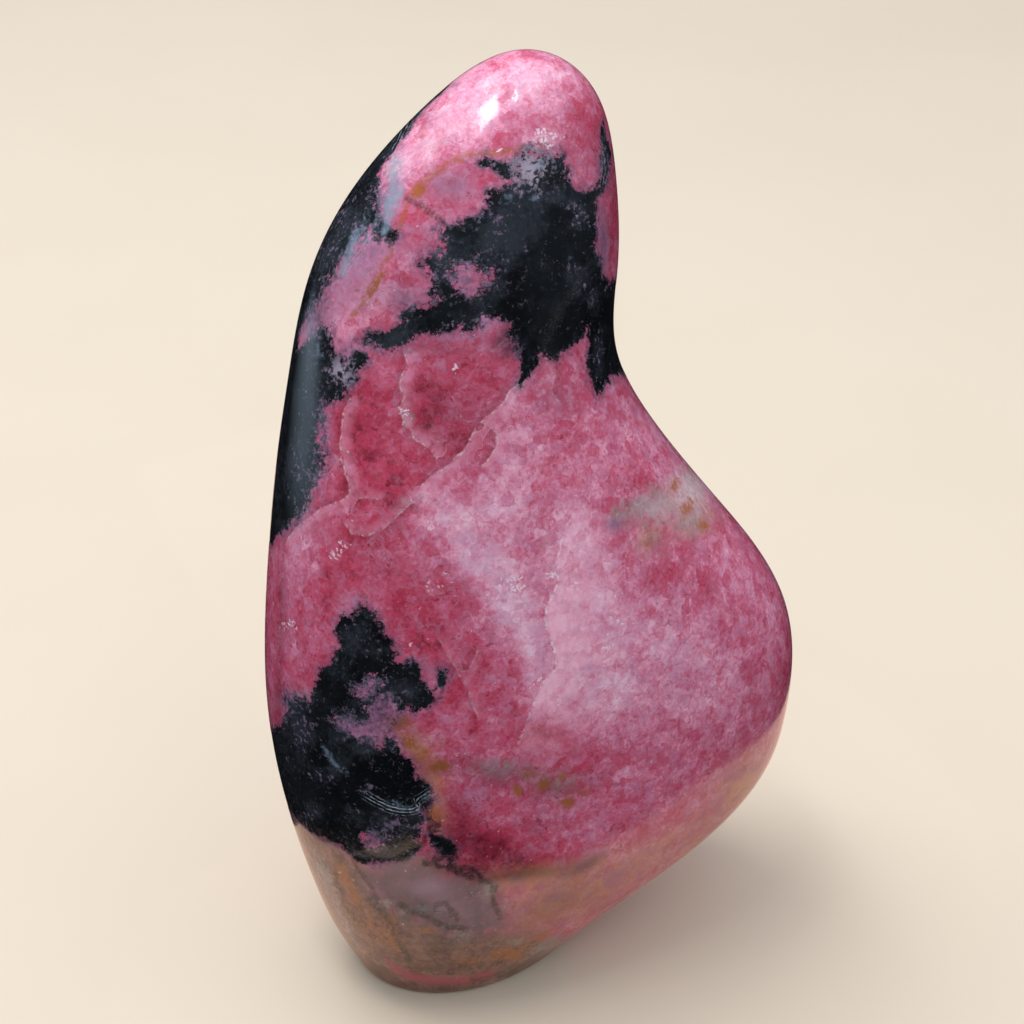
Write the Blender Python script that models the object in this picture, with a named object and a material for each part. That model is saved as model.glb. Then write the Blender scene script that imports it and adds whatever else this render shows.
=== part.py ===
"""Rhodonite freeform: one polished stone that stands upright on a ground flat.

Metres, +Z up. The origin is under the middle of the stone, on the surface it stands on. The broad faces look
along -Y and +Y, the shoulder swells out to +X, and the front face leans back towards the head.
"""

import math

import bmesh
import bpy
import numpy as np

MM = 0.001

SEGMENTS = 64  # points round each level ring
ROWS = 50  # level rings from the ground flat to the last one under the tip
HEIGHT = 147.5  # mm, from the ground flat to the tip of the head

# The level rings that give the stone its form, in mm from its upright axis. A ring is an oval between left
# and right (X) and front and back (Y). Square swells it between those four points, from 0 for a true oval,
# and turn then twists it about its own middle, in degrees, anticlockwise from above.
LEVELS = (
    # height, left, right, front, back, square, turn
    (0.0, -32.2, 9.0, -15.8, 15.5, 0.00, 22.0),  # rim of the ground flat
    (5.0, -34.8, 17.0, -18.4, 19.5, 0.01, 18.0),
    (18.0, -39.2, 37.6, -24.0, 24.5, 0.02, 9.0),  # underside of the shoulder
    (35.0, -42.4, 45.6, -26.0, 27.0, 0.025, 2.0),
    (55.0, -43.4, 44.4, -25.0, 27.5, 0.025, 0.0),  # belly
    (72.0, -41.6, 33.9, -22.0, 27.5, 0.025, 0.0),
    (88.0, -39.0, 22.4, -17.5, 26.5, 0.02, 0.0),
    (102.0, -36.0, 15.8, -13.0, 25.5, 0.01, 0.0),  # hollow of the neck, at the right
    (116.0, -32.0, 16.7, -9.0, 25.0, 0.01, 0.0),
    (128.0, -25.1, 17.5, -4.5, 24.0, 0.00, 0.0),  # head
    (139.0, -13.2, 15.8, 0.5, 22.0, 0.00, 0.0),
    (HEIGHT, 4.0, 4.0, 12.0, 12.0, 0.00, 0.0),  # tip
)

ROSE = (0.44, 0.075, 0.13, 1.0)
POLISH = 0.12  # roughness
RHODONITE_IOR = 1.73


def spline_through(stations, values, at):
    """The smooth curve (a natural cubic spline) through values at stations, read at the places asked for."""
    step = np.diff(stations)
    slope = np.diff(values, axis=0) / step[:, None]
    system = np.eye(len(stations))
    bend = np.zeros_like(values)
    for i in range(1, len(stations) - 1):
        system[i, i - 1 : i + 2] = step[i - 1], 2 * (step[i - 1] + step[i]), step[i]
        bend[i] = 6 * (slope[i] - slope[i - 1])
    bend = np.linalg.solve(system, bend)
    cell = np.clip(np.searchsorted(stations, at, side="right") - 1, 0, len(step) - 1)
    width = step[cell][:, None]
    past = (at - stations[cell])[:, None]
    left = width - past
    chord = (values[cell] * left + values[cell + 1] * past) / width
    return chord + (
        bend[cell] * (left**3 / width - width * left)
        + bend[cell + 1] * (past**3 / width - width * past)
    ) / 6


def climb(height):
    """How far up its round a height lies, from 0 at the ground to 1 at the tip, so that the tip is a dome."""
    return np.arcsin(height / HEIGHT) / (math.pi / 2)


def ring_points(left, right, front, back, square, turn):
    """One level ring in plan, anticlockwise from above, in mm."""
    angle = np.arange(SEGMENTS) * 2 * math.pi / SEGMENTS
    x = (np.cos(angle) - square * np.cos(3 * angle)) / (1 - square) * (right - left) / 2
    y = (np.sin(angle) + square * np.sin(3 * angle)) / (1 - square) * (back - front) / 2
    cos, sin = math.cos(math.radians(turn)), math.sin(math.radians(turn))
    middle_x, middle_y = (left + right) / 2, (front + back) / 2
    return np.column_stack([middle_x + x * cos - y * sin, middle_y + x * sin + y * cos])


def stone_points():
    """The points of every ring, from the ground up and then round, and of the tip, in mm."""
    levels = np.array(LEVELS)
    rows = np.arange(ROWS) / ROWS
    points = np.empty((ROWS, SEGMENTS, 3))
    forms = spline_through(climb(levels[:, 0]), levels[:, 1:], rows)
    for ring, row, form in zip(points, rows, forms):
        ring[:, :2] = ring_points(*form)
        ring[:, 2] = HEIGHT * math.sin(row * math.pi / 2)
    tip = np.array([levels[-1, 1], levels[-1, 3], HEIGHT])
    middle = (points.min(axis=(0, 1)) + points.max(axis=(0, 1))) / 2 * (1, 1, 0)
    return points - middle, tip - middle


def polished_rhodonite():
    material = bpy.data.materials.new("polished_rhodonite")
    material.use_nodes = True
    shader = material.node_tree.nodes["Principled BSDF"]
    shader.inputs["Base Color"].default_value = ROSE
    shader.inputs["Metallic"].default_value = 0.0
    shader.inputs["Roughness"].default_value = POLISH
    shader.inputs["IOR"].default_value = RHODONITE_IOR
    return material


def build_stone():
    """Rings bridged from the ground up, closed by a fan at the tip and by one flat face below."""
    points, tip = stone_points()
    bm = bmesh.new()
    rings = [[bm.verts.new(point * MM) for point in ring] for ring in points]
    top = bm.verts.new(tip * MM)
    for i in range(SEGMENTS):
        j = (i + 1) % SEGMENTS
        for lower, upper in zip(rings, rings[1:]):
            bm.faces.new((lower[i], lower[j], upper[j], upper[i]))
        bm.faces.new((rings[-1][i], rings[-1][j], top))
    bm.faces.new(rings[0][::-1])
    mesh = bpy.data.meshes.new("rhodonite_freeform")
    bm.to_mesh(mesh)
    bm.free()
    mesh.shade_smooth()
    mesh.set_sharp_from_angle(angle=math.radians(30))
    mesh.materials.append(polished_rhodonite())
    stone = bpy.data.objects.new("rhodonite_freeform", mesh)
    bpy.context.scene.collection.objects.link(stone)


for old in list(bpy.data.objects):
    bpy.data.objects.remove(old)
build_stone()
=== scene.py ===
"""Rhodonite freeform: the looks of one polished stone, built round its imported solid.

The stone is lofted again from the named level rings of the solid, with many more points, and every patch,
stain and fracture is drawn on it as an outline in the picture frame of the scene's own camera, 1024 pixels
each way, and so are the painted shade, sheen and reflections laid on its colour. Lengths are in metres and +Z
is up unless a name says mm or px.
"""

import math

import bpy
import numpy as np
from bpy.props import FloatProperty, FloatVectorProperty, PointerProperty
from bpy.types import Operator, Panel, PropertyGroup
from mathutils import Euler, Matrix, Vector


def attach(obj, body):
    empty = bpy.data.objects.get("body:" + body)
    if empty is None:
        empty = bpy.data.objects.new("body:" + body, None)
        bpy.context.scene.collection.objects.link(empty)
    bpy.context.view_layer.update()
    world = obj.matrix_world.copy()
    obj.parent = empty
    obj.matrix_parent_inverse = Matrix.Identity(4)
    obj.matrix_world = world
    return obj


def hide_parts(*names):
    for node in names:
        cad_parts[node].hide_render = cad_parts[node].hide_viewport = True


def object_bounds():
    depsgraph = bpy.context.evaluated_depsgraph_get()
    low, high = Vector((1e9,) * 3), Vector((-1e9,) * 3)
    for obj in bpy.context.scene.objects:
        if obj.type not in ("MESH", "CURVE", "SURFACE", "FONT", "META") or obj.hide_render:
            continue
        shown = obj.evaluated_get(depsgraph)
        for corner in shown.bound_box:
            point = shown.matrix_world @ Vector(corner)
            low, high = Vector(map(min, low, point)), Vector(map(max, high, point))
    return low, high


bl_info = {
    "name": "Rhodonite Freeform",
    "version": (1, 0, 0),
    "blender": (4, 5, 0),
    "location": "3D View > Sidebar > Rhodonite",
    "description": "Builds a polished rhodonite freeform and the studio it stands in",
    "category": "Add Mesh",
}

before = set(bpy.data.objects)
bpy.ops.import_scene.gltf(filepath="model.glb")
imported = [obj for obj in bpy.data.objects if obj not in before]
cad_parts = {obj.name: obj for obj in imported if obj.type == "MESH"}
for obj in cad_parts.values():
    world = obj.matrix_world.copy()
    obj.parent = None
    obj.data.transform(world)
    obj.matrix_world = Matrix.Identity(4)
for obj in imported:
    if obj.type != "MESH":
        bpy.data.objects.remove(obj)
CAD_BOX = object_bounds()

MM = 0.001
NODE = "rhodonite_freeform"

# ---- Form of the stone, in mm ----

SEGMENTS = 320  # points round each level ring
ROWS = 248  # level rings between the ground flat and the tip
GROUND_RINGS = 12  # rings across the ground flat
SOLID_ROWS, SOLID_SEGMENTS = 50, 64  # rings and points round them in the solid, which set its middle
HEIGHT = 147.5

# The level rings that give the stone its form, from its upright axis. A ring is an oval between left and
# right (X) and front and back (Y). Square swells it between those four points, from 0 for a true oval, and
# turn then twists it about its own middle, in degrees, anticlockwise from above.
LEVELS = (
    # height, left, right, front, back, square, turn
    (0.0, -32.2, 9.0, -15.8, 15.5, 0.00, 22.0),  # rim of the ground flat
    (5.0, -34.8, 17.0, -18.4, 19.5, 0.01, 18.0),
    (18.0, -39.2, 37.6, -24.0, 24.5, 0.02, 9.0),  # underside of the shoulder
    (35.0, -42.4, 45.6, -26.0, 27.0, 0.025, 2.0),
    (55.0, -43.4, 44.4, -25.0, 27.5, 0.025, 0.0),  # belly
    (72.0, -41.6, 33.9, -22.0, 27.5, 0.025, 0.0),
    (88.0, -39.0, 22.4, -17.5, 26.5, 0.02, 0.0),
    (102.0, -36.0, 15.8, -13.0, 25.5, 0.01, 0.0),  # hollow of the neck, at the right
    (116.0, -32.0, 16.7, -9.0, 25.0, 0.01, 0.0),
    (128.0, -25.1, 17.5, -4.5, 24.0, 0.00, 0.0),  # head
    (139.0, -13.2, 15.8, 0.5, 22.0, 0.00, 0.0),
    (HEIGHT, 4.0, 4.0, 12.0, 12.0, 0.00, 0.0),  # tip
)

RIM_ROUND = 1.0  # softened edge round the ground flat
RIM_DRAW = 0.6  # how much of it the lowest ring is drawn in
RIM_RINGS = (0.0, 0.08, 0.25, 0.5)  # heights of a few close rings that turn the rim over
FIRST_EVEN_RING = 0.75  # height above which the rings are evenly spaced

# Depths of the polished relief
SWELL_DEPTH = 0.16
BLACK_DEPTH = 0.05
STEP_DEPTH = 0.12
CRACK_DEPTH = 0.06
CRACK_HALF = 0.5  # half the width of a crack's groove
GROUND_FADE = 4.0  # height by which the relief is at its full depth
TIP_FADE = (1.0, 9.0)  # distances from the tip where it starts and is at its full depth
PITS = (
    # x, y and radius in px, depth
    (511, 97, 6, 0.35),
    (588, 605, 5, 0.10),
    (474, 660, 6, 0.10),
    (404, 420, 7, 0.12),
    (545, 780, 6, 0.12),
    (516, 792, 6, 0.12),
)

# ---- Camera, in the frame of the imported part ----

CAMERA_PLACE = (-137.07 * MM, -298.27 * MM, 254.0 * MM)
CAMERA_TURN = (math.radians(61.6), 0.0, math.radians(-24.0))
LENS = 83.32  # mm
SENSOR = 36.0  # mm wide
PICTURE = 1024  # px each way
MM_PER_PX = 0.158  # on the front of the stone

# ---- Markings of the side that faces the camera, px ----
# fmt: off

# Black manganese patches.
NECK_PATCH = (
    (486, 200), (490, 190), (500, 187), (508, 181), (512, 172), (514, 162), (520, 155), (530, 151),
    (541, 150), (549, 154), (555, 160), (560, 153), (566, 153), (567, 166), (566, 178), (572, 184),
    (580, 188), (590, 190), (598, 188), (601, 178), (602, 160), (601, 140), (599, 128), (603, 122),
    (607, 135), (611, 150), (611, 165), (609, 180), (606, 190), (599, 196), (597, 206), (598, 220),
    (596, 235), (597, 248), (601, 262), (604, 276), (609, 283), (618, 281), (640, 284), (640, 372),
    (618, 373), (610, 380), (604, 389), (597, 396), (592, 385), (589, 370), (587, 355), (588, 340),
    (589, 326), (585, 331), (582, 340), (574, 347), (565, 352), (557, 360), (550, 358), (543, 356),
    (539, 352), (537, 364), (533, 373), (527, 382), (519, 389), (517, 382), (521, 370), (523, 360),
    (519, 352), (511, 345), (503, 340), (507, 332), (512, 323), (505, 323), (498, 320), (490, 318),
    (481, 319), (476, 326), (470, 331), (464, 330), (458, 328), (452, 330), (445, 331), (436, 331),
    (428, 334), (420, 338), (416, 342), (408, 345), (398, 350), (390, 354), (383, 354), (377, 350),
    (374, 345), (364, 344), (355, 343), (364, 337), (376, 332), (388, 329), (397, 326), (403, 322),
    (401, 316), (408, 312), (416, 309), (424, 306), (432, 303), (431, 292), (432, 280), (427, 272),
    (421, 262), (424, 254), (431, 250), (436, 240), (441, 230), (446, 225), (452, 226), (458, 224),
    (466, 222), (474, 216), (480, 213), (487, 210), (488, 205),
)
FLANK_PATCH = (
    (449, 85), (436, 98), (424, 108), (410, 124), (399, 144), (388, 158), (380, 172), (377, 190),
    (380, 205), (388, 220), (397, 232), (396, 240), (386, 242), (378, 238), (368, 229), (361, 236),
    (353, 250), (345, 264), (335, 276), (325, 290), (320, 300), (313, 310), (305, 320), (299, 334),
    (297, 350), (304, 345), (312, 333), (320, 324), (328, 328), (332, 340), (334, 352), (342, 356),
    (354, 353), (364, 352), (370, 357), (363, 367), (357, 377), (349, 388), (343, 399), (334, 403),
    (325, 404), (322, 416), (322, 430), (320, 444), (325, 458), (323, 470), (316, 478), (315, 489),
    (310, 497), (307, 506), (298, 515), (289, 525), (280, 531), (272, 544), (252, 548), (252, 470),
    (270, 360), (290, 270), (330, 170), (380, 108), (438, 76),
)
LOWER_PATCH = (
    (364, 602), (371, 609), (377, 617), (381, 626), (384, 633), (391, 638), (395, 646), (399, 649),
    (397, 655), (393, 660), (400, 665), (410, 663), (418, 666), (421, 675), (426, 684), (431, 692),
    (436, 697), (432, 706), (424, 710), (413, 711), (405, 707), (401, 714), (394, 720), (388, 728),
    (388, 737), (393, 738), (397, 745), (396, 752), (401, 756), (408, 758), (415, 766), (416, 776),
    (424, 779), (430, 789), (433, 798), (428, 806), (421, 812), (425, 820), (421, 828), (420, 840),
    (423, 849), (415, 853), (405, 857), (395, 862), (383, 864), (368, 863), (355, 861), (346, 850),
    (334, 843), (321, 839), (307, 829), (294, 816), (283, 799), (262, 775), (258, 742), (273, 729),
    (280, 727), (284, 717), (286, 706), (282, 700), (286, 694), (298, 699), (308, 700), (313, 697),
    (313, 689), (315, 680), (322, 670), (330, 664), (336, 656), (339, 648), (339, 640), (335, 634),
    (338, 626), (342, 618), (350, 617), (356, 615), (360, 606),
)
SMALL_PATCHES = (
    # dot by the lower patch
    ((437, 672), (446, 673), (447, 681), (442, 690), (438, 686)),
    # below the head
    ((474, 160), (484, 158), (494, 162), (492, 166), (480, 165)),
    ((494, 167), (503, 164), (513, 168), (518, 176), (508, 181), (499, 178)),
    # knot below the lower patch
    ((430, 833), (438, 836), (447, 839), (456, 846), (455, 856), (446, 858), (439, 851), (431, 846)),
)
# Rose and lilac islands within the black.
ISLANDS = (
    (
        (453, 276), (460, 268), (469, 262), (477, 264), (481, 271), (488, 277), (484, 284), (479, 290),
        (473, 296), (466, 290), (459, 283),
    ),
    (
        (374, 704), (379, 700), (386, 699), (393, 704), (399, 712), (392, 719), (388, 728), (385, 738),
        (381, 748), (376, 742), (366, 738), (355, 736), (343, 729), (338, 722), (350, 725), (362, 727),
        (371, 722), (373, 713),
    ),
    ((356, 690), (364, 686), (370, 678), (378, 681), (372, 688), (371, 694), (363, 697)),
    ((363, 839), (371, 835), (382, 838), (384, 846), (376, 850), (366, 848)),
    ((420, 832), (427, 829), (430, 837), (427, 847), (422, 846)),
)

# Tan, ochre-stained foot of the front, the rose rim below it and the grey-lilac patch above it.
TAN_FOOT = (
    (276, 770), (296, 806), (318, 826), (342, 842), (354, 860), (360, 874), (368, 888), (378, 898),
    (388, 905), (402, 911), (416, 919), (432, 927), (450, 932), (475, 934), (500, 931), (522, 934),
    (545, 940), (570, 944), (560, 1000), (380, 1010), (330, 960), (272, 860),
)
ROSE_RIM = (
    (384, 958), (398, 967), (414, 973), (432, 977), (452, 978), (472, 976), (490, 971), (500, 972),
    (484, 981), (454, 986), (428, 985), (408, 980), (392, 971),
)
GREY_PATCH = (
    (404, 856), (430, 864), (455, 874), (480, 881), (492, 889), (501, 905), (508, 926), (482, 938),
    (455, 938), (430, 932), (412, 925), (396, 918), (380, 908), (368, 892), (358, 870), (380, 864),
)

# Soft stains and painted light: (x, y, radius across, radius along, turn in degrees, strength).
DEEP = (
    (362, 430, 28, 56, 0, 1.0), (385, 490, 34, 30, 0, 0.8), (430, 400, 28, 36, 20, 0.5),
    (462, 440, 40, 32, -35, 0.4), (480, 372, 34, 26, 0, 0.4), (425, 615, 36, 56, 0, 0.4),
    (450, 690, 40, 40, 0, 0.3), (350, 560, 34, 34, 0, 0.4), (480, 846, 50, 26, 8, 1.0),
    (524, 868, 44, 10, -5, 1.0), (784, 690, 10, 50, 0, 0.4), (400, 462, 26, 24, 0, 0.5),
    (700, 576, 24, 18, 0, 0.3), (596, 760, 34, 16, 10, 0.3), (585, 118, 14, 30, -20, 0.5),
    (497, 140, 10, 8, 0, 0.7), (330, 650, 22, 40, 0, 0.4), (465, 800, 30, 40, 10, 0.5),
    (610, 100, 14, 40, 0, 0.4), (608, 220, 8, 60, 0, 0.6), (288, 620, 14, 80, 0, 0.5),
    (580, 745, 44, 14, 10, 0.4), (476, 728, 9, 6, 0, 0.9), (445, 671, 9, 7, 0, 1.0),
    (438, 644, 8, 8, 0, 0.9), (399, 606, 7, 8, 0, 0.9), (585, 606, 6, 4, 20, 1.0),
    (560, 735, 16, 7, 0, 0.7), (540, 732, 14, 8, -20, 0.6), (424, 426, 11, 8, 10, 1.0),
    (386, 396, 12, 9, 0, 0.9), (330, 598, 12, 10, 0, 0.7), (344, 484, 6, 9, 0, 0.8),
    (352, 534, 16, 8, 10, 0.6), (332, 572, 12, 10, 0, 0.6), (420, 388, 10, 8, 0, 0.7),
    (402, 606, 30, 40, 0, 0.3), (350, 426, 18, 34, 0, 1.0), (470, 640, 20, 20, 0, 0.3),
)
# Paler zones: pale grains, and on the top of the head, over the middle of the belly, along the side edges and
# over the lower right a painted sheen.
PALE_AND_SHEEN = (
    (470, 545, 24, 50, -30, 1.0), (508, 600, 26, 60, -25, 1.0), (500, 500, 50, 40, 0, 0.7),
    (530, 650, 16, 44, -10, 0.9), (575, 540, 40, 60, 0, 0.8), (520, 440, 24, 44, 30, 0.6),
    (600, 640, 60, 70, 0, 0.7), (650, 436, 22, 34, -35, 0.5), (728, 566, 26, 50, -32, 0.3),
    (520, 80, 80, 44, 0, 0.8), (430, 148, 28, 46, 40, 0.7), (470, 110, 50, 34, 40, 0.85),
    (545, 140, 16, 10, 0, 1.0), (340, 372, 12, 14, 0, 0.9), (432, 520, 14, 9, 0, 0.8),
    (514, 396, 8, 26, 30, 0.8), (532, 170, 20, 22, 0, 1.0), (366, 296, 30, 26, -30, 0.5),
    (300, 560, 22, 30, 0, 0.4), (610, 700, 60, 50, 0, 0.6), (680, 650, 70, 60, 0, 0.5),
    (705, 700, 60, 40, 0, 0.4), (645, 775, 40, 18, -20, 0.25), (430, 500, 20, 14, -20, 0.7),
    (605, 452, 34, 40, 20, 0.25), (690, 494, 24, 30, -20, 1.0), (652, 508, 20, 14, -20, 0.5),
    (560, 690, 30, 20, -30, 0.6), (393, 172, 12, 24, 10, 1.0), (575, 218, 14, 14, 0, 0.5),
    (340, 330, 16, 14, 0, 0.5), (462, 780, 20, 6, -20, 0.5), (290, 600, 10, 90, 0, 0.35),
    (770, 640, 20, 80, 0, 0.2), (566, 650, 18, 30, -10, 0.6), (585, 600, 40, 50, 0, 0.6),
    (492, 562, 24, 50, -28, 1.0),
)
# Lilac and violet tints; the lavender band down the middle of the front and the lilac over the lower right
# are partly a painted haze of reflection.
LILAC = (
    (316, 470, 8, 36, 14, 0.6), (328, 418, 8, 26, 0, 0.5), (300, 520, 14, 16, 40, 0.6),
    (348, 350, 16, 14, 0, 0.9), (368, 262, 26, 40, 30, 0.7), (460, 188, 32, 28, 0, 0.8),
    (430, 668, 10, 26, -20, 0.7), (345, 600, 22, 10, 0, 0.6), (486, 322, 14, 12, 0, 0.9),
    (590, 830, 40, 12, -20, 0.5), (500, 770, 30, 16, 0, 0.5), (455, 338, 40, 7, 0, 0.6),
    (470, 795, 34, 14, 0, 0.6), (394, 186, 12, 34, 14, 1.0), (680, 690, 60, 50, 0, 0.3),
    (430, 888, 22, 10, 0, 0.9), (590, 165, 20, 18, 0, 0.4), (312, 318, 18, 30, 20, 1.0),
    (346, 290, 20, 44, 25, 0.8), (372, 250, 20, 24, 20, 0.7), (440, 720, 14, 10, 0, 0.5),
    (486, 565, 24, 60, -30, 0.45), (374, 842, 16, 8, 0, 0.9), (288, 600, 12, 80, 0, 0.4),
    (614, 524, 12, 12, 0, 1.0), (640, 505, 24, 14, 0, 0.6), (380, 705, 30, 50, 0, 1.0),
    (446, 182, 26, 20, 0, 0.5), (348, 727, 36, 18, 0, 1.0), (466, 280, 22, 24, 0, 0.9),
    (604, 240, 10, 50, 0, 0.9), (600, 780, 26, 18, 0, 0.5), (540, 640, 14, 40, -10, 0.6),
    (300, 640, 30, 50, 0, 0.3), (420, 560, 30, 20, 0, 0.3), (412, 245, 22, 40, 20, 0.5),
    (404, 296, 26, 14, -10, 0.9), (445, 905, 24, 12, 10, 0.5), (300, 700, 14, 8, 0, 0.6),
)
OCHRE = (
    (418, 190, 8, 9, 30, 1.0), (398, 723, 15, 11, 0, 1.0), (408, 742, 10, 9, 0, 0.9),
    (420, 762, 10, 12, 0, 0.5), (426, 782, 8, 10, 0, 0.35), (434, 804, 9, 12, 0, 0.45),
    (441, 766, 11, 8, 0, 1.0), (425, 752, 8, 6, 0, 0.6), (434, 818, 10, 12, 0, 0.7),
    (517, 790, 7, 9, 0, 1.0), (543, 786, 8, 6, 0, 1.0), (568, 803, 9, 9, 0, 0.9), (530, 775, 12, 5, 0, 0.6),
    (585, 792, 12, 6, 20, 0.6), (500, 782, 8, 5, 0, 0.5), (562, 778, 14, 6, 0, 0.5),
    (688, 508, 8, 16, 30, 0.75), (704, 526, 10, 8, 30, 0.7), (676, 486, 6, 16, 20, 0.65),
    (648, 545, 8, 14, 20, 0.5), (590, 866, 20, 5, -25, 0.25), (376, 284, 4, 22, 26, 0.9),
    (392, 250, 3, 16, 14, 0.6), (366, 596, 6, 6, 0, 0.5), (515, 957, 7, 4, 0, 1.0),
    (538, 190, 10, 6, 0, 0.7), (560, 164, 8, 5, 0, 0.6), (540, 874, 30, 5, -8, 0.2),
    (352, 892, 10, 26, -30, 0.55), (372, 930, 12, 24, -33, 0.45), (344, 872, 8, 12, -30, 0.5),
    (392, 922, 12, 16, -30, 0.5), (426, 930, 18, 7, 15, 0.6), (506, 954, 24, 8, -8, 0.7),
    (466, 962, 24, 5, 3, 0.6), (396, 946, 8, 18, -38, 0.55), (500, 172, 11, 7, 0, 0.7),
    (355, 862, 14, 6, 30, 0.5), (500, 874, 20, 4, 0, 0.2), (540, 938, 26, 7, -22, 0.6),
)
# Grey stains; the grey along the lower left rim and the grey-white streaks low on the foot are a painted
# reflection.
GREY = (
    (640, 507, 38, 16, -15, 0.8), (665, 500, 30, 24, -30, 0.7), (692, 486, 16, 26, -30, 0.9),
    (650, 540, 20, 22, 10, 0.5), (500, 768, 42, 14, 0, 0.68), (556, 784, 38, 15, 0, 0.68),
    (692, 522, 24, 20, -30, 0.8), (440, 742, 14, 8, 20, 0.5), (432, 142, 26, 40, 40, 0.4),
    (525, 215, 34, 36, 0, 0.8), (480, 250, 40, 30, 0, 0.4), (350, 640, 14, 24, 0, 0.6),
    (392, 172, 9, 20, 8, 0.7), (300, 700, 24, 14, 0, 0.7), (390, 856, 44, 8, 0, 0.4),
    (400, 340, 20, 10, -10, 0.5), (345, 925, 7, 40, -29, 0.8), (430, 806, 10, 22, 0, 0.4),
    (488, 890, 12, 12, 0, 1.0), (424, 908, 20, 5, 10, 0.5), (516, 944, 18, 6, -8, 0.8),
    (386, 904, 9, 6, 0, 1.0), (402, 912, 6, 5, 0, 1.0), (548, 946, 26, 8, -25, 1.0),
    (500, 164, 18, 8, 0, 0.6), (530, 190, 24, 9, 0, 0.8), (407, 420, 7, 8, 0, 1.0),
    (404, 394, 4, 16, 0, 0.6), (406, 500, 7, 6, 0, 0.7), (545, 542, 8, 8, 0, 0.6),
    (324, 876, 9, 34, -24, 1.0), (432, 428, 6, 14, -30, 0.4), (462, 935, 18, 10, 0, 0.6),
)
# Where lilac and grey flecks crowd the black.
FLECKED = (
    (440, 250, 14, 32, 0, 1.0), (496, 232, 12, 28, 20, 1.0), (468, 280, 24, 26, 0, 0.8),
    (582, 213, 7, 10, 0, 1.0), (576, 225, 10, 6, 0, 1.0), (571, 206, 6, 6, 0, 1.0),
    (559, 198, 8, 8, 0, 0.9), (534, 170, 28, 24, 0, 1.0), (545, 150, 18, 7, 0, 0.8),
    (528, 182, 20, 12, 0, 0.8), (505, 270, 26, 30, 0, 0.7), (300, 735, 18, 30, 0, 0.8),
    (345, 722, 30, 16, 0, 1.0), (395, 825, 34, 24, 0, 0.8), (366, 690, 26, 16, -20, 0.9),
    (372, 745, 18, 14, 0, 0.8), (382, 708, 18, 34, 0, 1.0), (603, 240, 8, 40, 0, 0.6),
    (436, 300, 30, 8, -10, 0.5), (512, 342, 16, 16, 0, 1.0), (372, 256, 24, 36, 20, 0.4),
    (404, 292, 24, 26, 0, 0.45), (470, 324, 30, 7, 0, 0.4), (408, 694, 10, 8, 0, 0.6),
    (375, 838, 14, 8, 0, 1.0), (330, 775, 20, 14, 0, 0.7), (366, 790, 10, 8, 0, 1.0),
    (400, 690, 20, 14, 0, 0.4), (342, 370, 20, 24, 0, 1.0), (300, 470, 22, 50, 0, 0.7),
    (314, 318, 16, 26, 20, 0.8), (336, 262, 12, 40, 25, 0.6), (335, 235, 30, 70, 25, 0.6),
    (385, 200, 14, 34, 20, 0.9), (310, 814, 10, 8, 0, 0.8), (375, 345, 20, 10, -10, 0.8),
    (600, 350, 8, 30, 0, 0.8), (592, 300, 6, 14, 0, 1.0), (575, 275, 14, 26, 0, 0.6),
    (420, 110, 16, 14, 40, 0.6), (367, 640, 20, 20, 0, 0.5), (604, 160, 6, 30, 0, 0.8),
    (288, 700, 10, 14, 0, 0.9), (320, 430, 10, 50, 0, 0.8),
)
# Bluish films; on the upper left flank they are a painted reflection of a bluish window.
BLUE = (
    (400, 196, 5, 18, 10, 0.8), (389, 212, 7, 22, 10, 0.8), (384, 232, 6, 10, 20, 0.6),
    (396, 162, 7, 12, 0, 0.6), (352, 244, 7, 38, 24, 0.7), (392, 184, 7, 30, 8, 0.6),
    (372, 228, 6, 30, 26, 0.5), (345, 270, 8, 12, 20, 0.6), (318, 350, 10, 24, 10, 0.4),
    (540, 166, 7, 7, 0, 0.7), (536, 198, 12, 5, 0, 0.6), (508, 198, 8, 8, 0, 0.5), (668, 687, 6, 6, 0, 0.4),
    (328, 755, 4, 18, -30, 0.7), (342, 770, 4, 14, -50, 0.45), (400, 806, 26, 6, 14, 0.5),
    (426, 798, 7, 9, 0, 0.5), (424, 910, 28, 9, 8, 0.55), (446, 926, 12, 6, 10, 0.4),
)
# Brownish pink: stains, and across the lower edge a painted warm reflection of the surface below.
CLAY_AND_REFLECTION = (
    (694, 518, 24, 20, -30, 0.8), (650, 540, 16, 16, 0, 0.6), (530, 876, 50, 9, -6, 1.0),
    (590, 864, 24, 8, -28, 0.9), (545, 905, 70, 26, -30, 0.9), (640, 862, 64, 14, -36, 0.8),
    (744, 785, 36, 24, -50, 1.0), (520, 880, 40, 14, 0, 0.8), (416, 748, 14, 18, -30, 1.0),
    (430, 776, 14, 20, -20, 1.0), (436, 806, 12, 24, 0, 0.9), (440, 834, 10, 12, 0, 0.7),
    (370, 875, 36, 12, 10, 0.9), (430, 868, 40, 8, 5, 0.8), (700, 835, 50, 14, -45, 0.6),
    (600, 890, 60, 18, -30, 0.8),
)
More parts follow.
